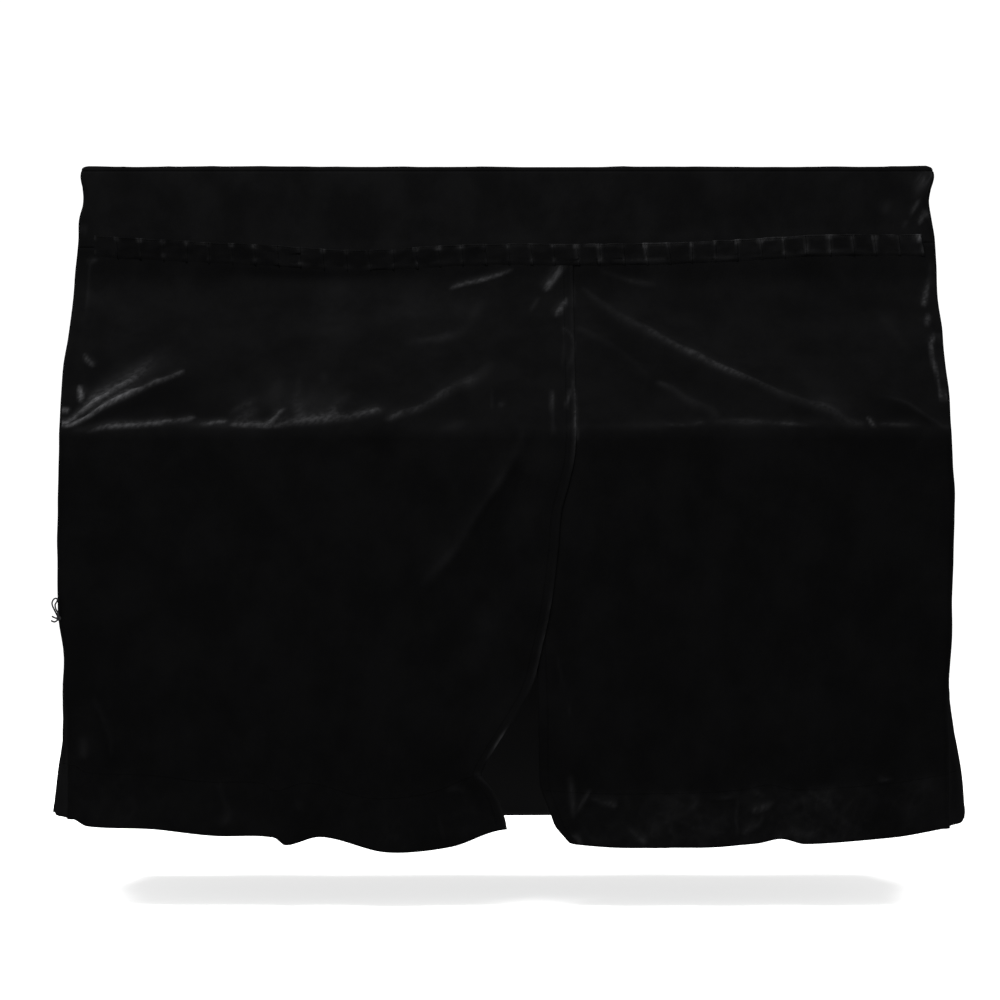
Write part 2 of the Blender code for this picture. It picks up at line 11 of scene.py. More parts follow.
import bmesh
import bpy
import numpy as np
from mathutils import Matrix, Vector


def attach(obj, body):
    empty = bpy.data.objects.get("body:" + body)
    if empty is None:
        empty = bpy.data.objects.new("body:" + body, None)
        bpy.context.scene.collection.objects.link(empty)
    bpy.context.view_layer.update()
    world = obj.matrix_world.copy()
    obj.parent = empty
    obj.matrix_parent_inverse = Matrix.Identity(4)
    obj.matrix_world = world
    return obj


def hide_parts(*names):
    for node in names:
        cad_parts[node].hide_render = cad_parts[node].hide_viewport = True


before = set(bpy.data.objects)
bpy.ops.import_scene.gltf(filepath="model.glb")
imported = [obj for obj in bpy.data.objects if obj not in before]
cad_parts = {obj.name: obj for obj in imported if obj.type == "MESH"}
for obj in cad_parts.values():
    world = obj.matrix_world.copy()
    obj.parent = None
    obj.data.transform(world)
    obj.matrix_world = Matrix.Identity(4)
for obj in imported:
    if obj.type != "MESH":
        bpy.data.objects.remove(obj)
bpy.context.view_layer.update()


# The camera stands level in front of the cover, far enough off for a long lens.
# Its axis meets the cover just below the key bed.

camera_optics = bpy.data.cameras.new("camera")
camera_optics.lens = 126.0
camera_optics.shift_x = -0.0055
camera = bpy.data.objects.new("camera", camera_optics)
camera.location = (0.0, -6.447, -0.595)
camera.rotation_euler = (math.radians(90), 0.0, 0.0)
bpy.context.scene.collection.objects.link(camera)
bpy.context.scene.camera = camera


# The tie, a limp twisted cord of dull black yarn, knotted on the seam of the left side and
# the front. Its cord goes up round a loop, back down through the knot and ends free, and
# a short end sticks out beside it.

TIE_KNOT = Vector((-0.76643, -0.44543, -0.798))
TIE_RADIUS = 0.0014
TIE_STEPS = 70
SHORT_END_STEPS = 13
KNOT_RADIUS = 0.0020
KNOT_SWAY = 0.0010
KNOT_HALF_DEPTH = 0.0011
KNOT_STEPS = 48
TIE_ROUTE = (
    (0.0000, 0.000, 0.0000), (-0.0024, -0.001, 0.0055), (-0.0052, -0.001, 0.0110),
    (-0.0080, -0.001, 0.0165), (-0.0102, -0.001, 0.0215), (-0.0110, -0.001, 0.0265),
    (-0.0092, -0.001, 0.0315), (-0.0050, -0.001, 0.0345), (-0.0016, -0.001, 0.0325),
    (-0.0028, -0.002, 0.0285), (-0.0054, -0.003, 0.0235), (-0.0042, -0.004, 0.0165),
    (-0.0008, -0.004, 0.0095), (0.0000, 0.000, 0.0000), (-0.0030, -0.001, -0.0040),
    (-0.0062, -0.002, -0.0058), (-0.0096, -0.002, -0.0052), (-0.0125, -0.002, -0.0036),
)
TIE_SHORT_END = (
    (0.0000, 0.000, 0.0000),
    (-0.0040, 0.001, 0.0002),
    (-0.0080, 0.001, 0.0018),
    (-0.0115, 0.000, 0.0036),
)


def along(rows, at):
    """The smooth curve through rows of (place, height), at those places."""
    places, heights = np.array(rows, float).T
    rise = heights[2:] - heights[:-2]
    inner = rise / (places[2:] - places[:-2])
    ends = np.diff(heights)[[0, -1]] / np.diff(places)[[0, -1]]
    slopes = np.concatenate((ends[:1], inner, ends[1:]))
    at = np.clip(at, places[0], places[-1])
    i = np.clip(np.searchsorted(places, at) - 1, 0, len(places) - 2)
    width = places[i + 1] - places[i]
    t = (at - places[i]) / width
    return (
        heights[i] * (2 * t**3 - 3 * t**2 + 1)
        + slopes[i] * width * (t**3 - 2 * t**2 + t)
        + heights[i + 1] * (3 * t**2 - 2 * t**3)
        + slopes[i + 1] * width * (t**3 - t**2)
    )


def smooth_path(points, steps):
    """So many points at even shares along the smooth curve through the given ones."""
    points = np.array(points, float)
    shares = np.linspace(0, len(points) - 1, steps)
    return np.column_stack([along(list(enumerate(axis)), shares) for axis in points.T])


class Number:
    """A number that a material works out over its surface, with the usual arithmetic."""

    def __init__(self, finish, socket):
        self.finish = finish
        self.socket = socket

    def joined(self, operation, *values):
        return self.finish.node("ShaderNodeMath", {"operation": operation}, values)

    def __add__(self, other):
        return self.joined("ADD", self, other)

    def __sub__(self, other):
        return self.joined("SUBTRACT", self, other)

    def __rsub__(self, other):
        return self.joined("SUBTRACT", other, self)

    def __mul__(self, other):
        return self.joined("MULTIPLY", self, other)

    __radd__ = __add__
    __rmul__ = __mul__

    def step(self, low, high):
        """0 below low and 1 above high, with a smooth ramp between them."""
        settings = {"interpolation_type": "SMOOTHSTEP"}
        values = {"Value": self, "From Min": low, "From Max": high}
        return self.finish.node("ShaderNodeMapRange", settings, values)


class Finish:
    """A material with a dull surface that isn't metal, whose nodes are added one by one."""

    def __init__(self, name, sheen=0.0, specular=0.04):
        self.material = bpy.data.materials.new(name)
        self.material.use_nodes = True
        self.tree = self.material.node_tree
        self.shader = self.tree.nodes["Principled BSDF"]
        self.shader.inputs["Specular IOR Level"].default_value = specular
        self.shader.inputs["Sheen Weight"].default_value = sheen
        self.shader.inputs["Sheen Roughness"].default_value = 0.5

    def node(self, kind, settings=None, sockets=(), output=0):
        """Adds a node and gives its output. Sockets go by name, or in order."""
        made = self.tree.nodes.new(kind)
        for name, value in (settings or {}).items():
            setattr(made, name, value)
        named = sockets.items() if isinstance(sockets, dict) else enumerate(sockets)
        for name, value in named:
            self.put(made.inputs[name], value)
        return Number(self, made.outputs[output])

    def put(self, socket, value):
        if isinstance(value, Number):
            self.tree.links.new(value.socket, socket)
        else:
            socket.default_value = value

    def set(self, name, value):
        self.put(self.shader.inputs[name], value)

    def place(self, stretch, turn=0.0):
        """The surface's own coordinates in metres, turned about Y and stretched on each axis."""
        spot = self.node("ShaderNodeTexCoord", output="Object")
        turned = {"Vector": spot, "Angle": turn}
        spot = self.node("ShaderNodeVectorRotate", {"rotation_type": "Y_AXIS"}, turned)
        return self.node("ShaderNodeVectorMath", {"operation": "MULTIPLY"}, (spot, stretch))

    def noise(self, stretch, detail=2.0, roughness=0.5, turn=0.0):
        values = {"Vector": self.place(stretch, turn), "Scale": 1.0, "Detail": detail}
        values["Roughness"] = roughness
        return self.node("ShaderNodeTexNoise", None, values)

    def blend(self, share, first, second):
        colours = {0: share, 6: first, 7: second}
        return self.node("ShaderNodeMix", {"data_type": "RGBA"}, colours, 2)

    def bump(self, height, distance, strength=1.0, normal=None):
        values = {"Height": height, "Distance": distance, "Strength": strength}
        if normal:
            values["Normal"] = normal
        return self.node("ShaderNodeBump", None, values)


def linked(thing):
    bpy.context.scene.collection.objects.link(thing)
    return thing


def cord_curve(name, points, radius, steps, closed=False):
    """A round cord along the smooth curve through points."""
    curve = bpy.data.curves.new(name, "CURVE")
    curve.dimensions = "3D"
    curve.bevel_depth = radius
    curve.bevel_resolution = 4
    curve.use_fill_caps = not closed
    spline = curve.splines.new("POLY")
    spline.use_cyclic_u = closed
    route = smooth_path(points, steps)
    spline.points.add(len(route) - 1)
    for point, place in zip(spline.points, route):
        point.co = (*place, 1.0)
    curve.materials.append(yarn.material)
    return linked(bpy.data.objects.new(name, curve))


yarn = Finish("tie_yarn", sheen=0.01, specular=0.05)
twist = yarn.noise((900, 900, 2600), detail=1.0)
yarn_colours = ((0.004, 0.004, 0.0044, 1), (0.016, 0.016, 0.0175, 1))
yarn.set("Base Color", yarn.blend(twist.step(0.35, 0.65), *yarn_colours))
yarn.set("Roughness", 0.85)
yarn.set("Normal", yarn.bump(twist, 0.0004))

tie_points = [TIE_KNOT + Vector(step) for step in TIE_ROUTE]
tie_route = smooth_path(tie_points, TIE_STEPS)
tie_cord = cord_curve("tie_cord", tie_points, TIE_RADIUS, TIE_STEPS)
short_points = [TIE_KNOT + Vector(step) for step in TIE_SHORT_END]
tie_short_end = cord_curve("tie_short_end", short_points, TIE_RADIUS, SHORT_END_STEPS)


def knot_point(turn):
    """A point of the knot's line, which goes round itself 1.5 times in each turn."""
    reach = KNOT_RADIUS + KNOT_SWAY * math.cos(1.5 * turn)
    rise = KNOT_HALF_DEPTH * math.sin(1.5 * turn)
    return TIE_KNOT + Vector((reach * math.cos(turn), rise, reach * math.sin(turn)))


knot_points = [knot_point(turn) for turn in np.linspace(0, 4 * math.pi, KNOT_STEPS + 1)[:-1]]
tie_knot = cord_curve("tie_knot", knot_points, TIE_RADIUS, len(knot_points), closed=True)

for piece in (tie_cord, tie_short_end, tie_knot):
    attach(piece, "root")
    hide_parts("side_tie")


# The left curtain of the front: black crushed velvet, cut straight, gathered a little
# under the heading band and laid over the key bed. Its hem is deep and its free edge is
# turned in. It hangs over the right curtain, down to the pedals.

CLOTH = 0.002
BAND_HEIGHT = 0.039
CORNER_RADIUS = 0.014
CORNER_COLUMNS = 6
LEFT_COLUMNS = 206
CURTAIN_LAST_ROW = 218
HEM_DEPTH = 0.092
EDGE_TURNING = 0.016
SEAM_GROOVE = 0.0007
SEAM_PAD = 0.0012
HEM_CRUMPLE = 0.0022
# How crushed the pile is where nothing has creased it.
FRONT_PILE = 0.0082
TOP_HALF_DEPTH = 0.177
KEYBED_REACH = 0.270
SLOPE_START = 0.215
SLOPE_ROUND = 0.025
KEYBED_EDGE = 0.480
KEYBED_ROUND = 0.011
SLOPE_TOP = 0.190
SKIRT_START = 0.490
CORNER_AT_SEAM = 0.765
CORNER_AT_HEM = 0.764
USUAL_SEAM = 0.1505
USUAL_HEM = 1.185
# The usual drops of some rows of the curtains' cloth, which are closest at the key bed.
CURTAIN_ROWS = (
    (0, USUAL_SEAM),
    (14, SLOPE_START),
    (108, 0.460),
    (124, 0.500),
    (190, 1.050),
    (CURTAIN_LAST_ROW, USUAL_HEM),
)
# Rows of (drop, left, right): how far the front corners are from the middle.
GIRTHS = (
    (0.000, 0.762, 0.766), (0.016, 0.764, 0.769), (0.052, 0.757, 0.761), (0.092, 0.766, 0.765),
    (0.128, 0.767, 0.771), (0.200, 0.773, 0.774), (0.386, 0.774, 0.772), (0.480, 0.768, 0.768),
    (0.600, 0.769, 0.772), (0.780, 0.769, 0.768), (0.850, 0.761, 0.766), (0.940, 0.758, 0.760),
    (1.020, 0.753, 0.763), (1.160, 0.753, 0.764),
)
# The hem, and the seam under the heading band, as (x, drop).
FRONT_HEM = (
    (-0.753, 1.143), (-0.730, 1.155), (-0.609, 1.160), (-0.507, 1.171), (-0.404, 1.173), (-0.383, 1.186),
    (-0.321, 1.173), (-0.207, 1.198), (-0.095, 1.190), (-0.003, 1.159), (0.068, 1.166), (0.124, 1.186),
    (0.316, 1.191), (0.440, 1.184), (0.481, 1.176), (0.522, 1.184), (0.676, 1.174), (0.764, 1.159),
)
HEADING_SEAM = (
    (-0.765, 0.143), (-0.610, 0.147), (-0.450, 0.160), (-0.368, 0.167), (-0.260, 0.166), (-0.135, 0.160),
    (0.107, 0.148), (0.348, 0.145), (0.528, 0.142), (0.671, 0.136), (0.768, 0.134),
)
# The left curtain's free edge, as (drop, x).
LEFT_EDGE = (
    (0.150, 0.121), (0.475, 0.121), (0.525, 0.118), (0.570, 0.108), (0.615, 0.096), (0.684, 0.090),
    (0.777, 0.078), (0.847, 0.063), (0.917, 0.044), (0.988, 0.002), (1.030, -0.024), (1.065, -0.040),
    (1.089, -0.024), (1.109, -0.012), (1.154, 0.002), (1.190, 0.003),
)
# The painted highlight along the left curtain's free edge, in hundredths, by drop.
LEFT_EDGE_HIGHLIGHT = (
    (0.200, 1.5), (0.380, 2.0), (0.410, 3.0), (0.500, 4.0), (0.560, 1.0), (0.730, 1.0), (0.787, 4.0),
    (0.870, 4.0), (0.921, 1.0), (0.967, 1.0), (0.984, 3.0), (0.998, 10.0), (1.027, 9.0), (1.042, 0.5),
    (1.130, 2.0), (1.160, 0.5),
)
FREE_TURNING = 0.0005
EDGE_HIGHLIGHT_WIDTH = 0.004
CURL_START = 0.860
CURL_FULL = 1.020
CURL_WIDTH = 0.050
CURL_HEIGHT = 0.016

# A fold raises the cloth softly along a path of (x, drop) points.
Fold = namedtuple("Fold", "height half_width path")
FRONT_FOLDS = (
    Fold(0.009, 0.026, ((0.148, 0.219), (0.238, 0.294), (0.341, 0.350), (0.475, 0.422), (0.625, 0.475))),
    Fold(0.008, 0.024, ((0.132, 0.294), (0.269, 0.395), (0.385, 0.475))),
    Fold(0.007, 0.024, ((0.646, 0.420), (0.729, 0.468))),
    Fold(0.011, 0.030, ((-0.027, 0.355), (-0.114, 0.413), (-0.199, 0.449), (-0.300, 0.462))),
    Fold(0.010, 0.026, ((-0.567, 0.376), (-0.653, 0.415), (-0.740, 0.462))),
    Fold(0.006, 0.024, ((0.017, 0.205), (-0.102, 0.228))),
    Fold(0.009, 0.030, ((0.025, 0.492), (-0.009, 0.561), (-0.066, 0.657), (-0.138, 0.749))),
    Fold(0.008, 0.030, ((-0.704, 0.850), (-0.661, 1.058))),
    Fold(0.007, 0.026, ((0.100, 0.906), (0.116, 1.079))),
    Fold(0.005, 0.020, ((0.088, 0.225), (0.084, 0.470))),
)
# A crease lifts a narrow line of the cloth, and a painted highlight lies along it. Each is its lift and
# its path, whose points are (x or y, drop, half width, painted highlight). Sizes are in millimetres, and
# the highlight is in hundredths.
SLOPE_CREASES = (
    (4, (
        (-762, 468, 3, 9), (-743, 464, 3.5, 21), (-707, 448, 3.5, 21), (-688, 437, 4, 17),
        (-665, 424, 4.5, 22), (-645, 414, 4.5, 22), (-629, 408, 4, 11), (-618, 403, 4, 11),
        (-605, 397, 4, 16), (-590, 390, 4, 10), (-566, 374, 4, 8), (-560, 370, 3, 0), (-548, 366, 3, 0),
    )),
    (3, (
        (-757, 464, 3, 24), (-738, 449, 4, 19), (-722, 436, 5, 21), (-706, 425, 6, 22),
        (-694, 420, 5, 14), (-680, 408, 5, 10), (-668, 400, 4, 13), (-652, 392, 4, 10),
        (-640, 390, 4, 0),
    )),
    (1.5, (
        (-676, 404, 4, 6), (-650, 386, 7, 5), (-636, 372, 9, 2), (-624, 352, 9, 1), (-616, 336, 7, 0),
    )),
    (2, ((-742, 393, 3, 0), (-739, 402, 4, 19), (-735, 418, 5, 21), (-736, 429, 3, 0))),
    (2, ((-740, 335, 3, 0), (-734, 348, 4, 9.5), (-724, 357, 4, 11.5), (-718, 364, 3, 0))),
    (1.5, (
        (-756, 433, 3, 0), (-757, 440, 4, 15.5), (-763, 449, 4, 11.5), (-765, 459, 5, 18),
        (-759, 466, 5, 26),
    )),
    (1.5, (
        (-721, 480, 3, 0), (-688, 470, 4, 9), (-654, 467, 4, 14), (-620, 465, 4, 14.5),
        (-594, 463, 4, 16.5), (-579, 461, 4, 10.5), (-566, 461, 3, 3),
    )),
    (1.5, ((-572, 461, 3, 3), (-560, 459, 4, 10), (-543, 456, 4, 9.5), (-531, 454, 3, 0))),
    (1.2, ((-525, 466, 3, 0), (-515, 466, 3, 8), (-488, 461, 3, 8), (-477, 463, 3, 0))),
    (1.5, (
        (-477, 466, 3, 0), (-456, 466, 4, 9.5), (-430, 466, 4, 8), (-408, 468, 4, 11), (-398, 466, 3, 0),
    )),
    (1.5, ((-478, 456, 4, 0), (-465, 440, 8, 1.6), (-442, 427, 9, 1.8), (-425, 422, 7, 0))),
    (1, ((-457, 456, 10, 3), (-437, 443, 12, 1.8), (-426, 433, 9, 0))),
    (1.8, ((-418, 470, 3, 0), (-405, 461, 4, 11), (-389, 443, 4, 8.5), (-377, 434, 3, 0))),
    (2, (
        (-396, 468, 4, 5), (-362, 461, 6, 6), (-345, 459, 7, 7), (-319, 456, 8, 7), (-297, 452, 8, 7),
        (-276, 456, 7, 4), (-254, 455, 6, 5), (-227, 449, 6, 7), (-212, 447, 4, 0),
    )),
    (1, (
        (-362, 372, 5, 0), (-360, 386, 6, 0.6), (-360, 404, 7, 1), (-363, 418, 10, 1),
        (-359, 433, 12, 1.5), (-354, 449, 12, 2.5),
    )),
    (1, ((-408, 418, 9, 0), (-400, 400, 12, 0.8), (-391, 388, 9, 0.5), (-386, 382, 6, 0))),
    (0.8, ((-319, 368, 6, 0), (-316, 382, 7, 0.6), (-316, 397, 6, 0))),
    (1, ((-302, 449, 10, 3.2), (-290, 429, 12, 1.4), (-275, 418, 9, 0.8), (-267, 404, 8, 0))),
    (3, (
        (-101, 219, 3, 0), (-89, 214, 4, 9.5), (-71, 208, 4, 11), (-47, 202, 4, 13.5), (-28, 196, 4, 8),
        (-8, 190, 3, 9), (15, 181, 3, 0),
    )),
    (4, (
        (-209, 464, 4, 0), (-195, 461, 5, 6), (-173, 452, 6, 4), (-149, 445, 6, 4), (-127, 433, 7, 2.6),
        (-104, 416, 8, 4.5), (-84, 404, 9, 2.2), (-65, 396, 10, 3), (-44, 381, 12, 1.6),
        (-31, 364, 12, 0.8), (-24, 346, 10, 0),
    )),
    (1.5, (
        (-177, 320, 7, 0), (-151, 315, 8, 1.2), (-130, 311, 8, 2), (-107, 307, 10, 1.8),
        (-82, 298, 12, 0.8), (-63, 278, 12, 0.7), (-49, 255, 11, 0.6), (-38, 238, 8, 0),
    )),
    (4, (
        (108, 172, 4, 0), (101, 179, 6, 9.5), (92, 190, 6, 14), (81, 205, 6, 11), (74, 217, 6, 8.5),
        (72, 225, 3, 0),
    )),
    (3, ((110, 231, 3, 0), (106, 244, 5, 6), (99, 255, 5, 10), (93, 266, 6, 9.5), (88, 276, 3, 0))),
    (1.5, ((63, 231, 3, 0), (56, 240, 4, 1.6), (47, 255, 4, 1.6), (44, 263, 3, 0))),
    (0.8, ((123, 201, 3, 0), (123, 219, 3, 1), (123, 238, 3, 1), (122, 257, 3, 0))),
    (1.2, ((102, 294, 3, 3), (105, 309, 3, 1), (103, 331, 3, 1), (101, 353, 3, 1), (99, 372, 3, 0))),
    (1.2, (
        (103, 293, 3, 3), (116, 304, 3, 1.6), (121, 322, 3, 1.6), (118, 344, 4, 1), (111, 361, 4, 1),
        (107, 377, 3, 0),
    )),
    (1.2, (
        (114, 381, 3, 0), (117, 393, 3, 1.6), (121, 413, 3, 1.6), (122, 440, 3, 4), (121, 466, 3, 4),
        (122, 485, 3, 5), (121, 499, 3, 0),
    )),
    (1, ((112, 400, 3, 0), (110, 415, 3, 5), (106, 429, 3, 5), (106, 443, 3, 0))),
    (1, (
        (79, 404, 3, 0), (81, 418, 4, 4), (80, 436, 4, 3), (81, 457, 3, 1), (82, 475, 5, 1.6),
        (83, 487, 5, 0),
    )),
    (0.8, ((-23, 400, 3, 0), (-23, 415, 3, 1), (-23, 431, 3, 1), (-23, 440, 2, 0))),
    (0.8, ((-15, 429, 3, 0), (-10, 429, 5, 1.6), (-4, 431, 5, 1.6), (-1, 433, 3, 0))),
    (0.8, ((-122, 476, 6, 0), (-95, 470, 9, 0.9), (-78, 464, 9, 0.9), (-56, 457, 7, 0))),
    (5, (
        (134, 212, 4, 0), (147, 224, 6, 1.4), (172, 249, 9, 1.8), (203, 276, 10, 1.8),
        (241, 296, 9, 2.8), (272, 315, 8, 3.4), (307, 335, 7, 3.6), (327, 345, 7, 5.5),
        (354, 361, 7, 4.2), (383, 375, 6, 5.5), (408, 386, 6, 5), (434, 397, 6, 3.2), (479, 420, 7, 2.4),
        (521, 435, 9, 2.4), (546, 440, 11, 3.6), (563, 445, 11, 3), (584, 459, 10, 2.4),
        (609, 464, 8, 2.4),
    )),
    (2, (
        (123, 285, 5, 0), (135, 294, 7, 1), (161, 309, 9, 0.9), (187, 327, 9, 0.5), (213, 350, 9, 0.4),
        (238, 372, 7, 0.4), (262, 392, 6, 0),
    )),
    (2.5, (
        (258, 394, 4, 0), (272, 400, 6, 2.8), (292, 409, 7, 1.4), (302, 418, 7, 1.4), (319, 431, 9, 1.4),
        (339, 440, 10, 1.4), (356, 449, 11, 2), (373, 457, 9, 0),
    )),
    (1, ((272, 466, 3, 0), (291, 467, 3, 3), (317, 468, 3, 1), (334, 466, 3, 3), (345, 466, 3, 0))),
    (1, (
        (362, 463, 5, 1), (395, 461, 8, 1.6), (421, 461, 6, 3), (455, 463, 4, 1.6), (489, 466, 3, 4),
        (523, 470, 3, 1), (540, 470, 3, 0),
    )),
    (1.5, ((621, 452, 3, 0), (626, 457, 3, 9), (631, 466, 3, 9.5), (636, 471, 2, 0))),
    (1, ((640, 464, 3, 0), (652, 466, 3, 3), (678, 468, 3, 4), (698, 470, 3, 1), (715, 471, 3, 0))),
    (2.5, (
        (649, 415, 3, 0), (665, 424, 4, 1), (694, 433, 4, 1.6), (708, 443, 4, 1.6), (723, 452, 4, 1),
        (739, 461, 4, 1), (755, 470, 4, 1),
    )),
    (2, (
        (164, 179, 3, 0), (180, 187, 4, 1), (205, 196, 5, 1.6), (227, 203, 5, 3), (255, 208, 6, 1.6),
        (277, 212, 5, 0),
    )),
    (1.5, (
        (762, 176, 5, 1.6), (760, 194, 5, 1), (754, 216, 5, 6), (750, 231, 5, 8.5), (746, 244, 5, 8.5),
        (747, 253, 3, 0),
    )),
    (1.5, ((749, 261, 3, 0), (750, 270, 5, 7), (747, 281, 5, 6), (746, 291, 3, 0))),
    (2, (
        (759, 298, 3, 0), (754, 309, 4, 9.5), (749, 322, 4, 10.5), (748, 342, 4, 7), (750, 359, 4, 8),
        (753, 377, 4, 6), (754, 395, 3, 4), (755, 413, 4, 8), (755, 427, 3, 0),
    )),
    (1, (
        (656, 250, 9, 0), (671, 276, 12, 0.7), (684, 296, 12, 0.7), (698, 320, 10, 0.3),
        (708, 345, 8, 0),
    )),
    (1.2, ((-751, 160, 3, 0), (-745, 168, 4, 3), (-736, 166, 4, 3.5), (-728, 163, 3, 0))),
    (1.5, (
        (-744, 174, 3, 1.6), (-746, 201, 3, 1), (-745, 238, 3, 1.6), (-744, 276, 3, 0),
        (-743, 313, 3, 0), (-748, 331, 3, 0),
    )),
)
# The paths of broad places of painted light, or of painted shade below 0, among them the shadow under
# the heading band.
PAINTED_LIGHT_PLACES = (
    (
        (-240, 262, 20, 0), (-200, 266, 30, 0.7), (-120, 258, 34, 0.9), (-60, 240, 26, 0.4),
        (-30, 220, 20, 0),
    ),
    ((-298, 190, 18, 0.3), (-300, 240, 30, 0.7), (-310, 300, 30, 0.6), (-330, 350, 22, 0)),
    ((-640, 330, 20, 0), (-700, 250, 30, 0.3), (-735, 230, 16, 0.5), (-740, 215, 10, 0)),
    (
        (-728, 440, 9, 3.6), (-704, 418, 15, 4.6), (-680, 400, 19, 3.2), (-655, 385, 20, 3.2),
        (-634, 373, 22, 2.6), (-604, 356, 25, 1.5), (-560, 330, 28, 0),
    ),
    ((-450, 436, 16, 0.8), (-390, 424, 24, 1.3), (-300, 430, 24, 1.1), (-200, 446, 14, 0.2)),
    ((-736, 474, 6, 1), (-600, 463, 7, 2), (-460, 464, 8, 2), (-340, 457, 9, 2.4), (-214, 448, 8, 1)),
    ((110, 470, 6, 0.3), (260, 466, 8, 0.8), (400, 463, 8, 0.8), (560, 464, 8, 0.8), (700, 470, 6, 0.4)),
    (
        (180, 250, 20, 0), (300, 280, 30, 0.2), (420, 350, 30, 0.2), (560, 420, 22, 0.4),
        (640, 440, 14, 0),
    ),
    ((60, 500, 30, 0.2), (50, 560, 34, 0.4), (30, 640, 30, 0.2), (0, 700, 24, 0)),
    ((-10, 740, 14, 0), (-28, 800, 20, 0.4), (-50, 860, 20, 0.3), (-70, 930, 16, 0)),
    (
        (-700, 458, 8, -0.4), (-660, 440, 14, -0.6), (-610, 420, 22, -0.6), (-550, 400, 30, -0.5),
        (-490, 370, 34, -0.3), (-450, 340, 26, 0),
    ),
    ((-760, 300, 12, -0.2), (-768, 380, 12, -0.5), (-768, 430, 10, -0.3)),
    (
        (-560, 172, 10, 0), (-460, 184, 12, -0.5), (-330, 190, 12, -0.6), (-200, 184, 12, -0.4),
        (-120, 178, 8, 0),
    ),
    ((620, 424, 12, 0), (680, 444, 14, -0.6), (730, 458, 10, -0.5)),
    ((200, 330, 20, 0), (280, 360, 20, -0.3), (360, 400, 20, -0.3), (440, 430, 14, 0)),
)
SKIRT_CREASES = (
    (5, (
        (28, 484, 8, 1), (16, 518, 10, 0.5), (-1, 547, 10, 0.9), (-16, 573, 8, 1.4), (-32, 595, 8, 0.5),
        (-47, 616, 8, 0.6), (-61, 638, 10, 0.6), (-75, 664, 12, 0.6), (-95, 689, 10, 1.4),
        (-117, 715, 11, 0.8), (-133, 732, 12, 1), (-147, 746, 8, 0),
    )),
    (1.5, (
        (87, 852, 3, 0), (92, 878, 3, 0.7), (97, 904, 3, 0.7), (104, 929, 3, 0), (109, 952, 3, 0.7),
        (112, 972, 3, 0),
    )),
    (2.5, (
        (109, 1066, 5, 0), (112, 1078, 6, 2.1), (114, 1096, 6, 2.8), (115, 1113, 6, 2.8),
        (116, 1130, 5, 2.8), (116, 1144, 3, 0),
    )),
    (2, (
        (117, 1138, 3, 0), (126, 1123, 4, 2.1), (135, 1109, 4, 3.5), (141, 1099, 4, 3.5),
        (147, 1090, 3, 0),
    )),
    (2, (
        (141, 1104, 3, 0), (152, 1108, 4, 2.1), (165, 1113, 5, 2.1), (179, 1116, 6, 3.5),
        (188, 1118, 6, 2.8), (193, 1120, 3, 0),
    )),
    (1.5, ((116, 1171, 3, 4.2), (123, 1174, 7, 4.2), (128, 1183, 5, 4.2))),
    (1.5, ((207, 1156, 3, 0), (217, 1162, 5, 1.4), (229, 1173, 5, 2.1), (236, 1181, 5, 2.1))),
    (1.5, ((339, 1106, 3, 0), (359, 1104, 3, 0.7), (381, 1104, 3, 1.4), (402, 1099, 3, 0))),
    (1.5, (
        (397, 1106, 3, 0), (397, 1120, 3, 1.4), (395, 1140, 3, 1.4), (397, 1161, 3, 1.4),
        (395, 1174, 3, 0),
    )),
    (2, (
        (419, 1130, 5, 0), (431, 1126, 7, 4.9), (445, 1121, 7, 4.2), (455, 1116, 6, 2.1),
        (464, 1114, 3, 0),
    )),
    (1.5, ((423, 1099, 3, 0), (431, 1097, 3, 2.1), (441, 1102, 3, 1.4), (448, 1099, 3, 0))),
    (1.5, ((409, 1164, 5, 2.1), (421, 1157, 6, 2.8), (436, 1149, 5, 2.1), (440, 1137, 4, 1.4))),
    (1.5, (
        (515, 1090, 3, 0), (524, 1096, 4, 1.4), (539, 1106, 5, 1.4), (551, 1114, 7, 2.1),
        (560, 1120, 6, 1.4), (570, 1113, 3, 0),
    )),
    (1.5, ((471, 1171, 7, 2.8), (496, 1164, 9, 1.4), (522, 1171, 10, 1.4), (548, 1168, 7, 0))),
    (1.5, ((635, 1073, 3, 0), (645, 1074, 4, 3.5), (656, 1075, 3, 2.1), (669, 1075, 3, 0))),
    (2, (
        (-498, 1080, 5, 0), (-489, 1092, 7, 0.7), (-483, 1109, 7, 0.7), (-476, 1130, 9, 1.4),
        (-479, 1144, 9, 1.4), (-493, 1156, 7, 0),
    )),
    (1, ((-364, 1109, 7, 0), (-354, 1120, 9, 0.7), (-357, 1130, 9, 0))),
    (2, (
        (-54, 1061, 3, 0), (-45, 1068, 4, 1.4), (-32, 1080, 4, 0.7), (-21, 1089, 4, 0.7),
        (-16, 1096, 3, 0),
    )),
    (2, ((-9, 1102, 3, 0), (-4, 1116, 4, 1.4), (1, 1130, 4, 2.1), (1, 1144, 4, 1.4), (-6, 1154, 3, 0))),
    (1.5, ((-105, 1097, 3, 0), (-92, 1090, 6, 1.4), (-78, 1092, 5, 0.7), (-68, 1102, 3, 0))),
    (1.5, ((-68, 1109, 3, 0), (-64, 1130, 3, 0), (-59, 1147, 3, 0))),
    (1.5, ((-116, 1135, 3, 0), (-112, 1150, 4, 0.7), (-107, 1171, 4, 0.7), (-104, 1183, 3, 0))),
    (1.5, (
        (-704, 938, 5, 0.7), (-695, 958, 5, 0.7), (-685, 981, 5, 0.7), (-676, 1006, 5, 0.7),
        (-675, 1027, 4, 0.7), (-675, 1041, 3, 0),
    )),
    (2, ((-729, 998, 7, 0), (-724, 1015, 9, 1.4), (-723, 1032, 9, 1.4), (-724, 1044, 7, 0))),
    (1.5, ((-753, 1032, 5, 0), (-748, 1044, 5, 2.1), (-750, 1054, 3, 0))),
)
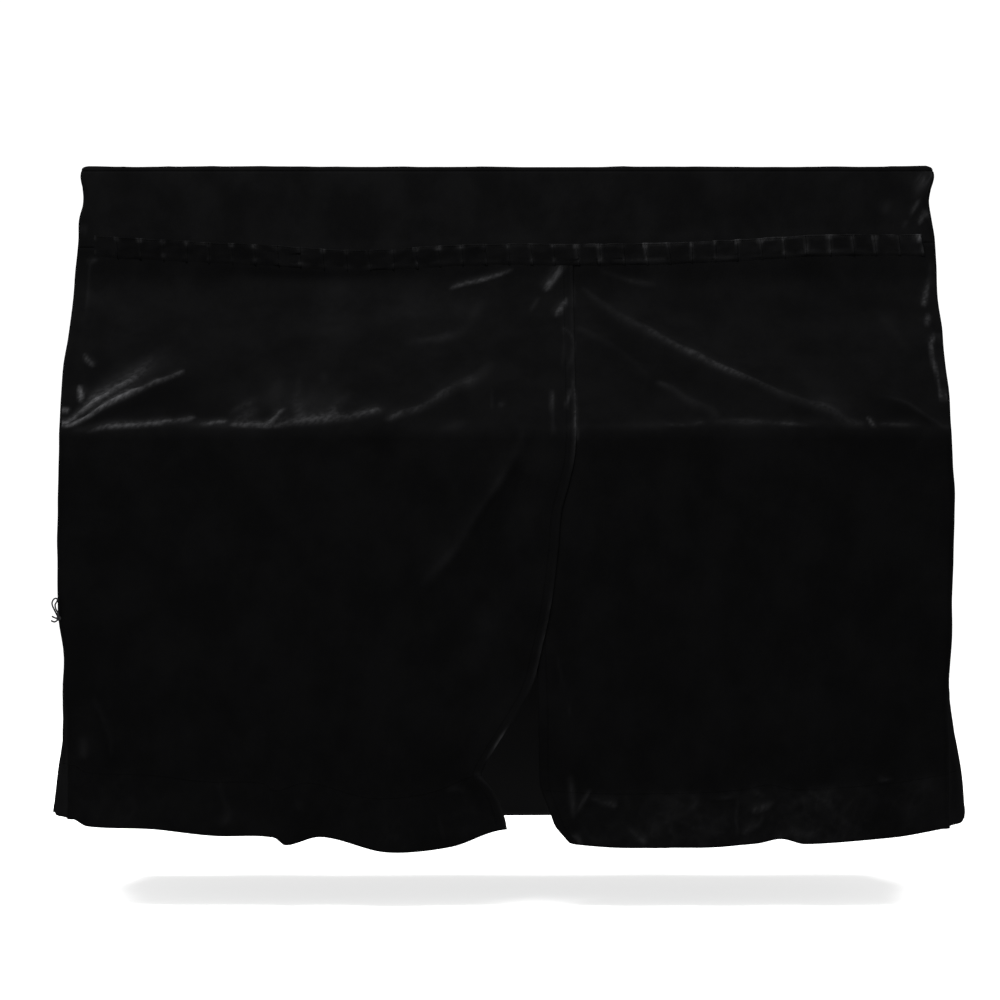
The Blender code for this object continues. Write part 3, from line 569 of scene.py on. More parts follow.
# Upright ripples: rows of (middle, half width, height, drop where it starts).
FRONT_RIPPLES = (
    (-0.560, 0.050, 0.008, 0.70), (-0.385, 0.035, 0.012, 0.85), (-0.210, 0.055, 0.014, 0.75),
    (0.200, 0.050, 0.008, 0.85), (0.360, 0.045, 0.010, 0.80), (0.520, 0.050, 0.012, 0.80),
)


def eased(value, low, high):
    """0 below low, 1 above high, and a smooth ramp between them."""
    share = np.clip((value - low) / (high - low), 0.0, 1.0)
    return share * share * (3 - 2 * share)


def mixed(a, b, share):
    return a + (b - a) * share


def bent(value, corner, rounding):
    """0 before the corner and value - corner after it, rounded over the corner."""
    past = value - corner
    return np.where(
        past >= rounding, past, np.clip(past + rounding, 0, None) ** 2 / (4 * rounding)
    )


def front_face(drop):
    """The y of the front cloth's outer face."""
    steepness = KEYBED_REACH / (KEYBED_EDGE - SLOPE_START)
    going_out = bent(drop, SLOPE_START, SLOPE_ROUND)
    return -TOP_HALF_DEPTH - steepness * (going_out - bent(drop, KEYBED_EDGE, KEYBED_ROUND))


def on_front(x, drop, relief):
    """Points of the front cloth that stand off its plain profile by relief."""
    reach = 0.002
    lean = (front_face(drop - reach) - front_face(drop + reach)) / (2 * reach)
    length = np.hypot(1, lean)
    return np.column_stack(
        (x, front_face(drop) - relief / length, -drop + relief * lean / length)
    )


def girth(side, drop):
    """How far the front corner of that side, -1 left or 1 right, is from the middle."""
    wobble = 0.0012 * soft_noise(drop, 0 * drop, 0.045, seed=31 + side)
    return along(for_side(side, GIRTHS), drop) + wobble


def for_side(side, rows):
    """Rows of (place, height) for one side, from rows of (place, left, right)."""
    return [(place, left if side < 0 else right) for place, left, right in rows]


def soft_noise(u, v, size, seed):
    """Smooth noise between -1 and 1 whose lumps are about size across."""
    chance = np.random.default_rng(seed)
    lattice = chance.uniform(-1, 1, (64, 64))
    turn = chance.uniform(0.3, 1.2)
    a = (u * math.cos(turn) - v * math.sin(turn)) / size + 17.0
    b = (u * math.sin(turn) + v * math.cos(turn)) / size + 29.0
    i = np.floor(a).astype(int)
    j = np.floor(b).astype(int)
    s = eased(a - i, 0, 1)
    t = eased(b - j, 0, 1)
    corners = [lattice[(i + di) % 64, (j + dj) % 64] for di in (0, 1) for dj in (0, 1)]
    return mixed(mixed(corners[0], corners[1], t), mixed(corners[2], corners[3], t), s)


def crumple(u, v, size, seed):
    """Noise with sharp soft ridges, from 0 to 1, as in cloth that was folded small."""
    return (1 - np.abs(soft_noise(u, v, size, seed))) ** 4


def crinkles(u, v, seed):
    """The small unevenness of velvet that hangs free, in metres."""
    waves = ((0.110, 0.0011), (0.055, 0.0007), (0.026, 0.0004))
    lumps = sum(
        height * soft_noise(u, 0.6 * v, size, seed + index)
        for index, (size, height) in enumerate(waves)
    )
    return lumps + 0.0007 * crumple(u, 0.7 * v, 0.075, seed + 7)


def ridge(path, u, v, reach):
    """The points within reach of a path.

    Gives which they are, their share of its length, their distance and how far they are
    under it.
    """
    low = path[:, :2].min(axis=0) - reach
    high = path[:, :2].max(axis=0) + reach
    by = np.flatnonzero((u > low[0]) & (u < high[0]) & (v > low[1]) & (v < high[1]))
    nearest = np.full(len(by), np.inf)
    share = np.zeros(len(by))
    under = np.zeros(len(by))
    for index, (start, end) in enumerate(zip(path[:-1, :2], path[1:, :2])):
        run = end - start
        on = ((u[by] - start[0]) * run[0] + (v[by] - start[1]) * run[1]) / run.dot(run)
        on = np.clip(on, 0, 1)
        away = np.hypot(u[by] - start[0] - on * run[0], v[by] - start[1] - on * run[1])
        share = np.where(away < nearest, (index + on) / (len(path) - 1), share)
        under = np.where(away < nearest, v[by] - start[1] - on * run[1], under)
        nearest = np.minimum(nearest, away)
    return by, share, nearest, under


def folded(folds, u, v):
    """How far soft folds raise the cloth."""
    height = np.zeros_like(u)
    for fold in folds:
        path = smooth_path(fold.path, 5 * len(fold.path))
        by, share, away, _ = ridge(path, u, v, 3 * fold.half_width)
        fade = eased(share, -0.02, 0.25) * (1 - eased(share, 0.75, 1.02))
        height[by] += fold.height * fade * np.exp(-((away / fold.half_width) ** 2))
    return height


def beside(rows, u, v, reach):
    """The points within so many half widths of a path like a crease's.

    Gives which they are, their share of its length, their distance and how far they are under it, and
    the half width and the painted light that it has beside them.
    """
    path = smooth_path(rows, 4 * len(rows)) * (0.001, 0.001, 0.001, 0.01)
    by, share, away, under = ridge(path, u, v, reach * path[:, 2].max())
    spots = np.linspace(0, 1, len(path))
    width, strength = (np.interp(share, spots, path[:, part]) for part in (2, 3))
    return by, share, away, under, width, strength


def creased(creases, u, v):
    """How far creases lift the cloth, and the painted highlights along them."""
    height = np.zeros_like(u)
    pile_tone_and_painted_light = np.zeros_like(u)
    for lift, path in creases:
        by, share, away, under, width, strength = beside(path, u, v, 4)
        profile = np.exp(-((away / width) ** 2))
        ends = eased(share, 0, 0.15) * (1 - eased(share, 0.85, 1))
        height[by] += 0.001 * lift * ends * profile
        # The painted highlight spreads a little up the side of the crease that faces the light from
        # above.
        feather = 0.3 * np.exp(-((away / (1.9 * width)) ** 2)) * eased(-under, 0, width)
        core = np.maximum(profile**1.3, feather)
        pile_tone_and_painted_light[by] = np.maximum(pile_tone_and_painted_light[by], core * strength)
    return height, pile_tone_and_painted_light


def shaded(places, u, v):
    """The painted light and shade over broad places: how much lighter or darker they are made."""
    shade = np.zeros_like(u)
    for place in places:
        by, _, away, _, width, strength = beside(place, u, v, 2.5)
        shade[by] += np.exp(-((away / width) ** 2)) * strength
    return shade


def rippled(ripples, at, drop, hem_drop):
    """How far upright ripples push the cloth out, growing from their start to the hem."""
    return sum(
        height * eased(drop, start, hem_drop) * np.exp(-(((at - middle) / half_width) ** 2))
        for middle, half_width, height, start in ripples
    )


def front_relief(x, drop, hem_drop):
    """How far the front cloth stands off its plain profile, and its pile's tone with painted light and
    shade.
    """
    to_corner = np.minimum(x + girth(-1, drop), girth(1, drop) - x)
    below_band = eased(drop, SLOPE_TOP, SLOPE_START + SLOPE_ROUND)
    still = below_band * eased(to_corner, CORNER_RADIUS, 0.080)
    near = below_band * eased(to_corner, CORNER_RADIUS, 0.030)
    lifted, pile_tone_and_painted_light = creased(SLOPE_CREASES + SKIRT_CREASES, x, drop)
    on_slope = eased(drop, 0.19, 0.24) * (1 - eased(drop, 0.470, 0.486))
    right = eased(x, 0.10, 0.18) * (1 - 0.5 * eased(x, 0.58, 0.62))
    hem_band = eased(drop, hem_drop - 0.105, hem_drop - 0.085) * (0.3 + 0.7 * right)
    crumpled = crumple(x, drop, 0.050, seed=71) + 0.6 * crumple(x, drop, 0.024, seed=72)
    shade = shaded(PAINTED_LIGHT_PLACES, x, drop)
    relief = still * (folded(FRONT_FOLDS, x, drop) + rippled(FRONT_RIPPLES, x, drop, hem_drop))
    relief = relief + near * (lifted + crinkles(x, drop, seed=5) * (0.8 + 0.6 * on_slope))
    relief = relief + near * HEM_CRUMPLE * hem_band * crumpled
    relief = relief + SEAM_PAD * eased(to_corner, CORNER_RADIUS, 0.030) * (1 - below_band)
    # Painted light: the curtains are made lighter on the slope and above it, as the light from above
    # falls more on them.
    upper = 1 - eased(drop, 0.20, 0.50)
    pile_tone_and_painted_light = pile_tone_and_painted_light + FRONT_PILE + 0.002 * upper + 0.001 * on_slope
    # Painted highlights of small crinkles lighten the hem band, most on the right.
    crinkle_highlights = crumple(x, drop, 0.030, seed=74) + crumple(x, drop, 0.014, seed=75)
    patches = 0.3 + 0.7 * eased(soft_noise(x, drop, 0.08, seed=73), -0.3, 0.5)
    return relief, pile_tone_and_painted_light + shade + hem_band * (0.003 + 0.010 * crinkle_highlights * patches)


def corner_point(side, end, drop, angle):
    """Points round an upright corner: angle 0 on the side's face and 90 on the end's."""
    out = girth(side, drop) if end < 0 else back_girth(drop)
    face = front_face(drop) if end < 0 else TOP_HALF_DEPTH + 0 * drop
    groove = SEAM_GROOVE * (1 - eased(np.abs(angle - 45), 0, 18))
    pucker = 0.0006 * soft_noise(drop, 0 * drop, 0.012, seed=40 + side + 2 * end)
    radius = CORNER_RADIUS - groove - pucker * (1 - eased(np.abs(angle - 45), 0, 30))
    turn = np.radians(angle)
    x = side * (out - CORNER_RADIUS + radius * np.cos(turn))
    y = face - end * CORNER_RADIUS + end * radius * np.sin(turn)
    return np.column_stack((x, y, -drop))


def cornered(points, column, side, end, drop, from_side=False):
    """The points, with those of the first columns carried round a corner to its seam.

    The cloth comes from the side's face, or else from the end's, -1 front or 1 back.
    """
    angle = 45 * np.clip((CORNER_COLUMNS - column) / CORNER_COLUMNS, 0, 1)
    arc = corner_point(side, end, drop, angle if from_side else 90 - angle)
    return np.where((column < CORNER_COLUMNS)[:, None], arc, points)


def cloth(name, across, down, place, finishes):
    """A sheet of cloth of across by down squares, with its reverse in the last finish.

    place gives its points, its pattern's coordinates and its pile's tone with painted light and shade,
    from the columns and rows of the squares' corners, counted from the top left.
    """
    shape = bmesh.new()
    bmesh.ops.create_grid(shape, x_segments=across, y_segments=down, size=0.5)
    mesh = bpy.data.meshes.new(name)
    shape.to_mesh(mesh)
    shape.free()
    corners = np.empty(3 * len(mesh.vertices))
    mesh.vertices.foreach_get("co", corners)
    column = np.round((corners[0::3] + 0.5) * across)
    row = np.round((0.5 - corners[1::3]) * down)
    points, pattern, pile_tone_and_painted_light = place(column, row)
    mesh.vertices.foreach_set("co", points.astype(np.float32).ravel())
    mesh.attributes.new("pile_tone_and_painted_light", "FLOAT", "POINT").data.foreach_set(
        "value", pile_tone_and_painted_light.astype(np.float32)
    )
    used = np.empty(len(mesh.loops), dtype=np.int32)
    mesh.loops.foreach_get("vertex_index", used)
    cut = mesh.uv_layers.new(name="cut")
    cut.data.foreach_set("uv", np.column_stack(pattern)[used].astype(np.float32).ravel())
    mesh.shade_smooth()
    mesh.update()
    for finish in finishes:
        mesh.materials.append(finish.material)
    thing = linked(bpy.data.objects.new(name, mesh))
    wall = thing.modifiers.new("thickness", "SOLIDIFY")
    wall.thickness = CLOTH
    wall.offset = -1.0
    wall.use_even_offset = True
    wall.use_quality_normals = True
    wall.material_offset = 1
    return thing


# The black pile, and the grey that painted highlights lighten it towards.
BLACK_PILE = (0.0009, 0.0009, 0.00094, 1)
HIGHLIGHT_PILE = (0.075, 0.075, 0.078, 1)
STITCH = 0.0022


def velvet_finish(name, hem_line, edge_line):
    """Black pile velvet. Stitches run that far from the hem and from the free edge."""
    velvet = Finish(name, sheen=0.0003, specular=0.0)
    # The cloth's attribute holds the pile's tone with painted highlights and painted shade, which
    # lighten the black pile towards grey, broken by streaks and blotches.
    pile_tone_and_painted_light = velvet.node("ShaderNodeAttribute", {"attribute_name": "pile_tone_and_painted_light"}, output="Fac")
    streaks = velvet.noise((150, 150, 38), detail=3.0, turn=-0.55)
    blotches = velvet.noise((13, 13, 11), detail=5.0, roughness=0.6)
    pile = velvet.noise((700, 700, 700), detail=2.0)
    highlit = pile_tone_and_painted_light.step(0.018, 0.050)
    streaked = 1 + highlit * (0.8 * streaks.step(0.33, 0.67) - 0.32)
    broken = (0.65 + 0.7 * blotches.step(0.3, 0.7)) * streaked
    light = pile_tone_and_painted_light * broken * (0.75 + 0.5 * pile)
    cut = velvet.node("ShaderNodeUVMap", {"uv_map": "cut"})
    sides = velvet.node("ShaderNodeSeparateXYZ", None, (cut,))
    across = Number(velvet, sides.socket.node.outputs[0])
    up = Number(velvet, sides.socket.node.outputs[1])
    seams = []
    for distance, dashes, line in ((up, across, hem_line), (across, up, edge_line)):
        off = velvet.node("ShaderNodeMath", {"operation": "ABSOLUTE"}, (distance - line,))
        dash = velvet.node("ShaderNodeMath", {"operation": "PINGPONG"}, (dashes, STITCH))
        seams.append((1 - off.step(0.0006, 0.0014)) * dash.step(0.0004, 0.0009))
    stitches = seams[0] + seams[1]
    velvet.set("Base Color", velvet.blend(light, BLACK_PILE, HIGHLIGHT_PILE))
    velvet.set("Roughness", 0.85 - 0.25 * light.step(0.0, 0.6))
    folds = velvet.noise((45, 45, 30), detail=4.0, roughness=0.6)
    rough = velvet.bump(folds, 0.003, 0.5)
    rough = velvet.bump(pile, 0.0006, 0.6, rough)
    velvet.set("Normal", velvet.bump(stitches, -0.0012, 0.8, rough))
    return velvet


def curtain_drop(x, at_hem, usual):
    """The drop of a curtain's points, whose usual drop is for a straight seam and hem."""
    top = heading_drop(x)
    hem = along(FRONT_HEM, at_hem)
    skirt = (usual - SKIRT_START) / (USUAL_HEM - SKIRT_START)
    upper = mixed(top, SLOPE_TOP, (usual - USUAL_SEAM) / (SLOPE_TOP - USUAL_SEAM))
    lower = mixed(SKIRT_START, hem, skirt)
    return np.where(usual < SLOPE_TOP, upper, np.where(usual > SKIRT_START, lower, usual))


def heading_drop(x):
    return along(HEADING_SEAM, x)


def curtain(side, column, row, columns, free_edge, lap):
    """A curtain of the front: its points, cut and pile tone with painted light, from its corner seam to
    its edge.

    column is counted from the corner seam. lap gives how far it stands off for its
    free edge, from x and the drop.
    """
    marks, drops = zip(*CURTAIN_ROWS)
    usual = np.interp(row, marks, drops)
    share = np.clip((column - CORNER_COLUMNS) / (columns - CORNER_COLUMNS), 0, 1)
    edge_at_hem = along(free_edge, USUAL_HEM + 0 * row)
    edge = along(free_edge, curtain_drop(along(free_edge, usual), edge_at_hem, usual))
    at_hem = mixed(side * girth(side, USUAL_HEM + 0 * row), edge_at_hem, share)
    at_corner = side * CORNER_AT_HEM + 0 * row
    corner_drop = curtain_drop(side * CORNER_AT_SEAM + 0 * row, at_corner, usual)
    corner_x = side * (girth(side, corner_drop) - CORNER_RADIUS)
    x = mixed(corner_x, edge, share)
    drop = curtain_drop(x, at_hem, usual)
    hem = along(FRONT_HEM, at_hem)
    relief, shine = front_relief(x, drop, hem)
    flat = on_front(x, drop, relief + lap(x, drop))
    points = cornered(flat, column, side, -1, drop)
    return points, (np.abs(x - edge), hem - drop), shine


def left_lap(x, drop):
    """The free edge's doubled turning, and its curl forward where the curtains part."""
    from_edge = along(LEFT_EDGE, drop) - x
    curl = (1 - eased(from_edge, 0, CURL_WIDTH)) * eased(drop, CURL_START, CURL_FULL)
    turning = (1 - eased(from_edge, 0.006, 0.020)) * eased(drop, 0.18, 0.24)
    return CURL_HEIGHT * curl + FREE_TURNING * turning


reverse = Finish("velvet_reverse", sheen=0.004, specular=0.0)
weave = reverse.noise((900, 900, 900), detail=1.0)
reverse_colours = ((0.0042, 0.0042, 0.0043, 1), (0.0106, 0.0106, 0.0109, 1))
reverse.set("Base Color", reverse.blend(weave, *reverse_colours))
reverse.set("Roughness", 0.95)
reverse.set("Normal", reverse.bump(weave, 0.0004))

front_velvet = velvet_finish("front_velvet", HEM_DEPTH, EDGE_TURNING)


def left_curtain(column, row):
    points, cut, pile_tone_and_painted_light = curtain(-1, column, row, LEFT_COLUMNS, LEFT_EDGE, left_lap)
    # A painted highlight runs along the free edge.
    edge_highlight = along(LEFT_EDGE_HIGHLIGHT, -points[:, 2]) * np.exp(-((cut[0] / EDGE_HIGHLIGHT_WIDTH) ** 2))
    return points, cut, pile_tone_and_painted_light + 0.01 * edge_highlight


front_left = cloth(
    "front_left_velvet", LEFT_COLUMNS, CURTAIN_LAST_ROW, left_curtain, (front_velvet, reverse)
)
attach(front_left, "root")
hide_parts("front_left")


# The right curtain of the front, of the same velvet. Its free edge lies behind the left
# curtain, and below the lap it stands aside for the pedals.

# The right curtain's free edge, as (drop, x).
RIGHT_EDGE = (
    (0.150, 0.070), (0.480, 0.067), (0.800, 0.052), (0.938, 0.056), (1.072, 0.058), (1.092, 0.061),
    (1.110, 0.068), (1.130, 0.076), (1.154, 0.085), (1.170, 0.098), (1.188, 0.114),
)
RIGHT_COLUMNS = 174
LAP_DEPTH = 0.0026
LAP_CLEAR = -0.008
LAP_RAMP = 0.030


def right_lap(x, drop):
    """How far the right curtain lies behind, where the left one covers it."""
    cover = along(LEFT_EDGE, drop) + LAP_CLEAR
    return -LAP_DEPTH * (1 - eased(x, cover, cover + LAP_RAMP))


def right_curtain(column, row):
    return curtain(1, RIGHT_COLUMNS - column, row, RIGHT_COLUMNS, RIGHT_EDGE, right_lap)


front_right = cloth(
    "front_right_velvet", RIGHT_COLUMNS, CURTAIN_LAST_ROW, right_curtain, (front_velvet, reverse)
)
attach(front_right, "root")
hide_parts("front_right")


# The valance, the upright strip of velvet between the top panel and the curtains. It is
# smooth but for the creases at its two ends.

VALANCE_TOP = 0.0055
VALANCE_COLUMNS = 312
VALANCE_ROWS = 30
# The valance's pile tone, made lighter than the curtains' as painted light from above.
VALANCE_PILE_AND_LIGHT = 0.014
# The top panel's stitches are sewn that far from its rim. The valance's are higher, close
# under the rim.
RIM_STITCHES = 0.012
STITCHES_HIGHER = 0.0045
# A pattern that far across has no free edge with stitches, and stitches that far off
# are on no cloth.
NO_EDGE = 0.5
NO_STITCHES = 5.0
VALANCE_CREASES = (
    (1.5, ((757, 8, 8, 4), (750, 20, 14, 5), (742, 34, 14, 3), (734, 50, 10, 1))),
    (1.5, ((742, 52, 3, 0), (738, 62, 4, 5), (733, 72, 4, 5), (728, 80, 4, 3), (724, 90, 3, 0))),
    (1.5, ((756, 60, 3, 1), (750, 80, 4, 6), (745, 92, 4, 8), (740, 104, 3, 0))),
    (1, ((690, 58, 6, 0), (682, 72, 9, 1.4), (674, 88, 6, 0))),
    (1, ((722, 92, 3, 0), (716, 100, 4, 2), (710, 110, 3, 0))),
    (1, ((-756, 96, 4, 0), (-754, 110, 4, 2), (-752, 125, 3, 0))),
)


def valance_place(column, row):
    share = np.clip((column - CORNER_COLUMNS) / (VALANCE_COLUMNS - 2 * CORNER_COLUMNS), 0, 1)
    down = row / VALANCE_ROWS
    left_drop = mixed(VALANCE_TOP, HEADING_SEAM[0][1], down)
    right_drop = mixed(VALANCE_TOP, HEADING_SEAM[-1][1], down)
    left = -(girth(-1, left_drop) - CORNER_RADIUS)
    right = girth(1, right_drop) - CORNER_RADIUS
    x = mixed(left, right, share)
    drop = mixed(VALANCE_TOP, heading_drop(x), down)
    to_corner = np.minimum(x - left, right - x)
    above_band = 1 - eased(drop, 0.090, 0.118)
    still = eased(to_corner, 0, 0.03) * above_band * eased(drop, 0.005, 0.03)
    raised, shine = creased(VALANCE_CREASES, x, drop)
    relief = still * (crinkles(x, drop, seed=11) + raised)
    seam = eased(drop, heading_drop(x) - 0.035, heading_drop(x) - 0.020)
    relief = relief + SEAM_PAD * seam * eased(to_corner, 0, 0.016)
    points = cornered(on_front(x, drop, relief), column, -1, -1, drop)
    points = cornered(points, VALANCE_COLUMNS - column, 1, -1, drop)
    return points, (NO_EDGE + 0 * x, drop + STITCHES_HIGHER), VALANCE_PILE_AND_LIGHT + shine


top_velvet = velvet_finish("top_velvet", RIM_STITCHES, NO_STITCHES)
valance = cloth(
    "valance_velvet", VALANCE_COLUMNS, VALANCE_ROWS, valance_place, (top_velvet, reverse)
)
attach(valance, "root")
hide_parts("valance")


# The top panel, which lies on the lid with a few low lumps. Its rim turns down to the
# seam all round.

TOP_COLUMNS = 260
TOP_ROWS = 76
TOP_LUMPS = 0.0012
TOP_PILE = 0.0135
TOP_RIM = 0.005
TOP_ROUND = 0.005
RIM_COLUMNS = 9


def top_place(column, row):
    """The rim runs past the inner rectangle by its length over the round edge and down."""
    fall = TOP_RIM + CLOTH - TOP_ROUND
    rim = CORNER_RADIUS - TOP_ROUND + TOP_ROUND * math.pi / 2 + fall
    shares = (-1 - rim, -1, 1, 1 + rim)
    a = np.interp(column, (0, RIM_COLUMNS, TOP_COLUMNS - RIM_COLUMNS, TOP_COLUMNS), shares)
    b = np.interp(row, (0, RIM_COLUMNS, TOP_ROWS - RIM_COLUMNS, TOP_ROWS), shares[::-1])
    inner_y = np.clip(b, -1, 1) * (TOP_HALF_DEPTH - CORNER_RADIUS)
    back = (inner_y / TOP_HALF_DEPTH + 1) / 2
    half_left = mixed(girth(-1, 0 * a), back_girth(0 * a), back)
    half_right = mixed(girth(1, 0 * a), back_girth(0 * a), back)
    half = np.where(a < 0, half_left, half_right) - CORNER_RADIUS
    inner_x = np.clip(a, -1, 1) * half
    past_x = np.clip(np.abs(a) - 1, 0, None)
    past_y = np.clip(np.abs(b) - 1, 0, None)
    past = np.maximum(past_x, past_y)
    length = np.maximum(np.hypot(past_x, past_y), 1e-9)
    turn = np.clip((past - CORNER_RADIUS + TOP_ROUND) / TOP_ROUND, 0, math.pi / 2)
    straight = np.minimum(past, CORNER_RADIUS - TOP_ROUND)
    down = np.clip(past - (rim - fall), 0, None)
    out = straight + TOP_ROUND * np.sin(turn)
    x = inner_x + np.sign(a) * past_x / length * out
    y = inner_y + np.sign(b) * past_y / length * out
    z = CLOTH - TOP_ROUND * (1 - np.cos(turn)) - down
    inside = 1 - eased(past, 0, CORNER_RADIUS)
    lumps = crinkles(x, y, seed=17) + TOP_LUMPS
    relief = inside * np.clip(lumps, 0, None) * 1.2
    shine = TOP_PILE + 0.003 * soft_noise(x, y, 0.16, seed=19) * inside
    return np.column_stack((x, y, z + relief)), (NO_EDGE + 0 * x, rim - past), shine


BACK_HEM = 1.192
BACK_TOP_GIRTH = 0.765
BACK_KEYBED_GIRTH = 0.766
BACK_HEM_GIRTH = 0.776


def back_girth(drop):
    below = (drop - KEYBED_EDGE) / (BACK_HEM - KEYBED_EDGE)
    upper = mixed(BACK_TOP_GIRTH, BACK_KEYBED_GIRTH, drop / KEYBED_EDGE)
    return np.where(drop < KEYBED_EDGE, upper, mixed(BACK_KEYBED_GIRTH, BACK_HEM_GIRTH, below))


top = cloth("top_velvet_panel", TOP_COLUMNS, TOP_ROWS, top_place, (top_velvet, reverse))
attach(top, "root")
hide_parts("top_panel")


# The two sides hang straight from the top panel's seam, and belly out below the key bed.
# Each is gathered into drag lines at the key bed's corner.

SIDE_COLUMNS = 112
SIDE_ROWS = 236
SIDE_PILE = 0.012
# How uneven the panels are that hang from the top, and how strong the painted highlights of their
# creases are, against the front.
HUNG_CRINKLES = 1.2
HUNG_HIGHLIGHTS = 0.9
# Rows of (drop, left, right): how far the sides belly out.
SIDE_BELLIES = (
    (0.000, 0.000, 0.000), (0.100, 0.003, 0.003), (0.480, 0.005, 0.006), (0.700, 0.008, 0.010),
    (0.900, 0.014, 0.018), (1.000, 0.027, 0.034), (1.100, 0.045, 0.055), (1.180, 0.055, 0.062),
)
# Here the middle and the half width are shares of the way from the front to the back.
SIDE_RIPPLES = (
    (0.20, 0.09, 0.010, 0.55),
    (0.45, 0.08, -0.009, 0.70),
    (0.72, 0.10, 0.012, 0.60),
)
SIDE_HEM_RISE = 0.015
SIDE_CREASES = (
    (4, (
        (-425, 468, 4, 6), (-370, 440, 7, 8), (-300, 405, 9, 4), (-220, 372, 10, 2), (-150, 350, 9, 0),
    )),
    (3, ((-420, 478, 4, 8), (-380, 470, 6, 7), (-330, 466, 8, 3), (-260, 468, 9, 0))),
    (4, (
        (-424, 492, 4, 6), (-370, 520, 7, 7), (-300, 566, 9, 3), (-230, 622, 10, 1), (-170, 690, 9, 0),
    )),
    (3.5, ((-420, 800, 4, 3), (-380, 850, 7, 4), (-350, 920, 9, 2), (-330, 1000, 9, 0))),
    (3, ((165, 20, 4, 4), (120, 70, 7, 5), (70, 140, 9, 2), (30, 230, 10, 1), (10, 330, 8, 0))),
    (3, ((-165, 20, 4, 4), (-130, 66, 7, 5), (-100, 120, 9, 2), (-84, 200, 9, 0))),
    (3, (
        (168, 470, 8, 0), (120, 520, 13, 1.2), (40, 566, 16, 1), (-50, 596, 16, 0.4), (-130, 640, 14, 0),
    )),
    (4, (
        (96, 1185, 7, 2), (88, 1090, 11, 2.4), (104, 960, 16, 1.2), (126, 820, 18, 0.5),
        (130, 700, 16, 0),
    )),
    (3, ((-236, 1180, 6, 1.6), (-248, 1120, 8, 2.6), (-236, 1040, 12, 1), (-216, 950, 12, 0))),
    (2, ((-60, 1100, 6, 0), (-72, 1140, 9, 1.4), (-66, 1180, 7, 0.8))),
)


def side_place(side):
    """One side's columns run the way that turns the cloth's face outwards."""

    def place(column, row):
        from_front = column if side > 0 else SIDE_COLUMNS - column
        down = row / SIDE_ROWS
        front_hem_drop = along(FRONT_HEM, side * CORNER_AT_HEM)
        front_drop = mixed(VALANCE_TOP, front_hem_drop, down)
        back_drop = mixed(VALANCE_TOP, BACK_HEM, down)
        flat_columns = SIDE_COLUMNS - 2 * CORNER_COLUMNS
        share = np.clip((from_front - CORNER_COLUMNS) / flat_columns, 0, 1)
        front = corner_point(side, -1, front_drop, 0 * front_drop)
        back = corner_point(side, 1, back_drop, 0 * back_drop)
        points = mixed(front, back, share[:, None])
        drop = -points[:, 2]
        swell = np.sin(np.pi * share) ** 2
        belly = along(for_side(side, SIDE_BELLIES), drop)
        ripple = rippled(SIDE_RIPPLES, share, drop, BACK_HEM)
        raised, shine = creased(SIDE_CREASES, points[:, 1], drop)
        near = eased(share, 0, 0.08) * (1 - eased(share, 0.92, 1)) * eased(drop, 0.005, 0.04)
        y = points[:, 1]
        rough = HUNG_CRINKLES * crinkles(y + 3, drop, seed=23 + side) + raised
        points[:, 0] += side * (belly * swell + ripple * np.minimum(1, 4 * swell) + near * rough)
        points[:, 2] += SIDE_HEM_RISE * swell * eased(drop, KEYBED_EDGE, BACK_HEM)
        points = cornered(points, from_front, side, -1, front_drop, from_side=True)
        from_back = SIDE_COLUMNS - from_front
        points = cornered(points, from_back, side, 1, back_drop, from_side=True)
        hem = mixed(front_hem_drop, BACK_HEM, share)
        return points, (NO_EDGE + 0 * y, hem - drop), SIDE_PILE + HUNG_HIGHLIGHTS * shine * near

    return place


for side, name in ((-1, "side_left"), (1, "side_right")):
    place = side_place(side)
    panel = cloth(f"{name}_velvet", SIDE_COLUMNS, SIDE_ROWS, place, (front_velvet, reverse))
    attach(panel, "root")
    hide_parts(name)


# The back panel hangs plumb from the top panel to its own hem, with soft upright folds
# and a few drag lines from its corners.

BACK_COLUMNS = 220
BACK_ROWS = 168
BACK_RIPPLES = (
    (-0.52, 0.070, 0.012, 0.30),
    (-0.20, 0.090, 0.010, 0.45),
    (0.16, 0.075, 0.013, 0.25),
    (0.47, 0.080, 0.011, 0.40),
)
BACK_CREASES = (
    (3, (
        (-752, 14, 4, 4), (-712, 52, 7, 5), (-655, 118, 10, 3), (-606, 216, 14, 1.2), (-570, 350, 18, 0),
    )),
    (2.5, ((-748, 22, 4, 2), (-728, 90, 8, 3), (-716, 190, 12, 1.4), (-722, 330, 14, 0))),
    (3, ((752, 14, 4, 4), (700, 44, 7, 5), (628, 80, 10, 3), (540, 140, 14, 1.2), (450, 220, 16, 0))),
    (2, ((748, 20, 4, 2), (724, 76, 8, 2.5), (700, 150, 12, 1.2), (690, 260, 14, 0))),
    (5, (
        (-420, 1188, 8, 1.6), (-432, 1080, 14, 1.4), (-416, 940, 22, 1), (-372, 760, 30, 0.6),
        (-330, 560, 34, 0),
    )),
    (5, (
        (-96, 1188, 8, 1.2), (-84, 1100, 12, 1.4), (-104, 980, 20, 1), (-150, 820, 28, 0.5),
        (-170, 660, 30, 0),
    )),
    (4, ((238, 1188, 8, 1.4), (230, 1110, 12, 1.2), (252, 990, 20, 0.9), (300, 860, 26, 0))),
    (5, (
        (560, 1188, 8, 1.6), (572, 1090, 14, 1.6), (560, 930, 22, 1.2), (520, 740, 30, 0.7),
        (470, 520, 34, 0.3), (430, 340, 30, 0),
    )),
    (3, ((-560, 420, 14, 0), (-480, 470, 18, 0.8), (-380, 500, 18, 0.6), (-270, 510, 14, 0))),
    (3, ((60, 250, 16, 0), (110, 380, 24, 0.7), (130, 540, 24, 0.6), (120, 680, 18, 0))),
    (2, ((-648, 1080, 5, 0), (-636, 1120, 8, 3), (-642, 1170, 6, 1), (-650, 1190, 5, 0))),
    (2, ((396, 1062, 5, 0), (412, 1112, 8, 3), (404, 1160, 6, 1), (398, 1190, 5, 0))),
)


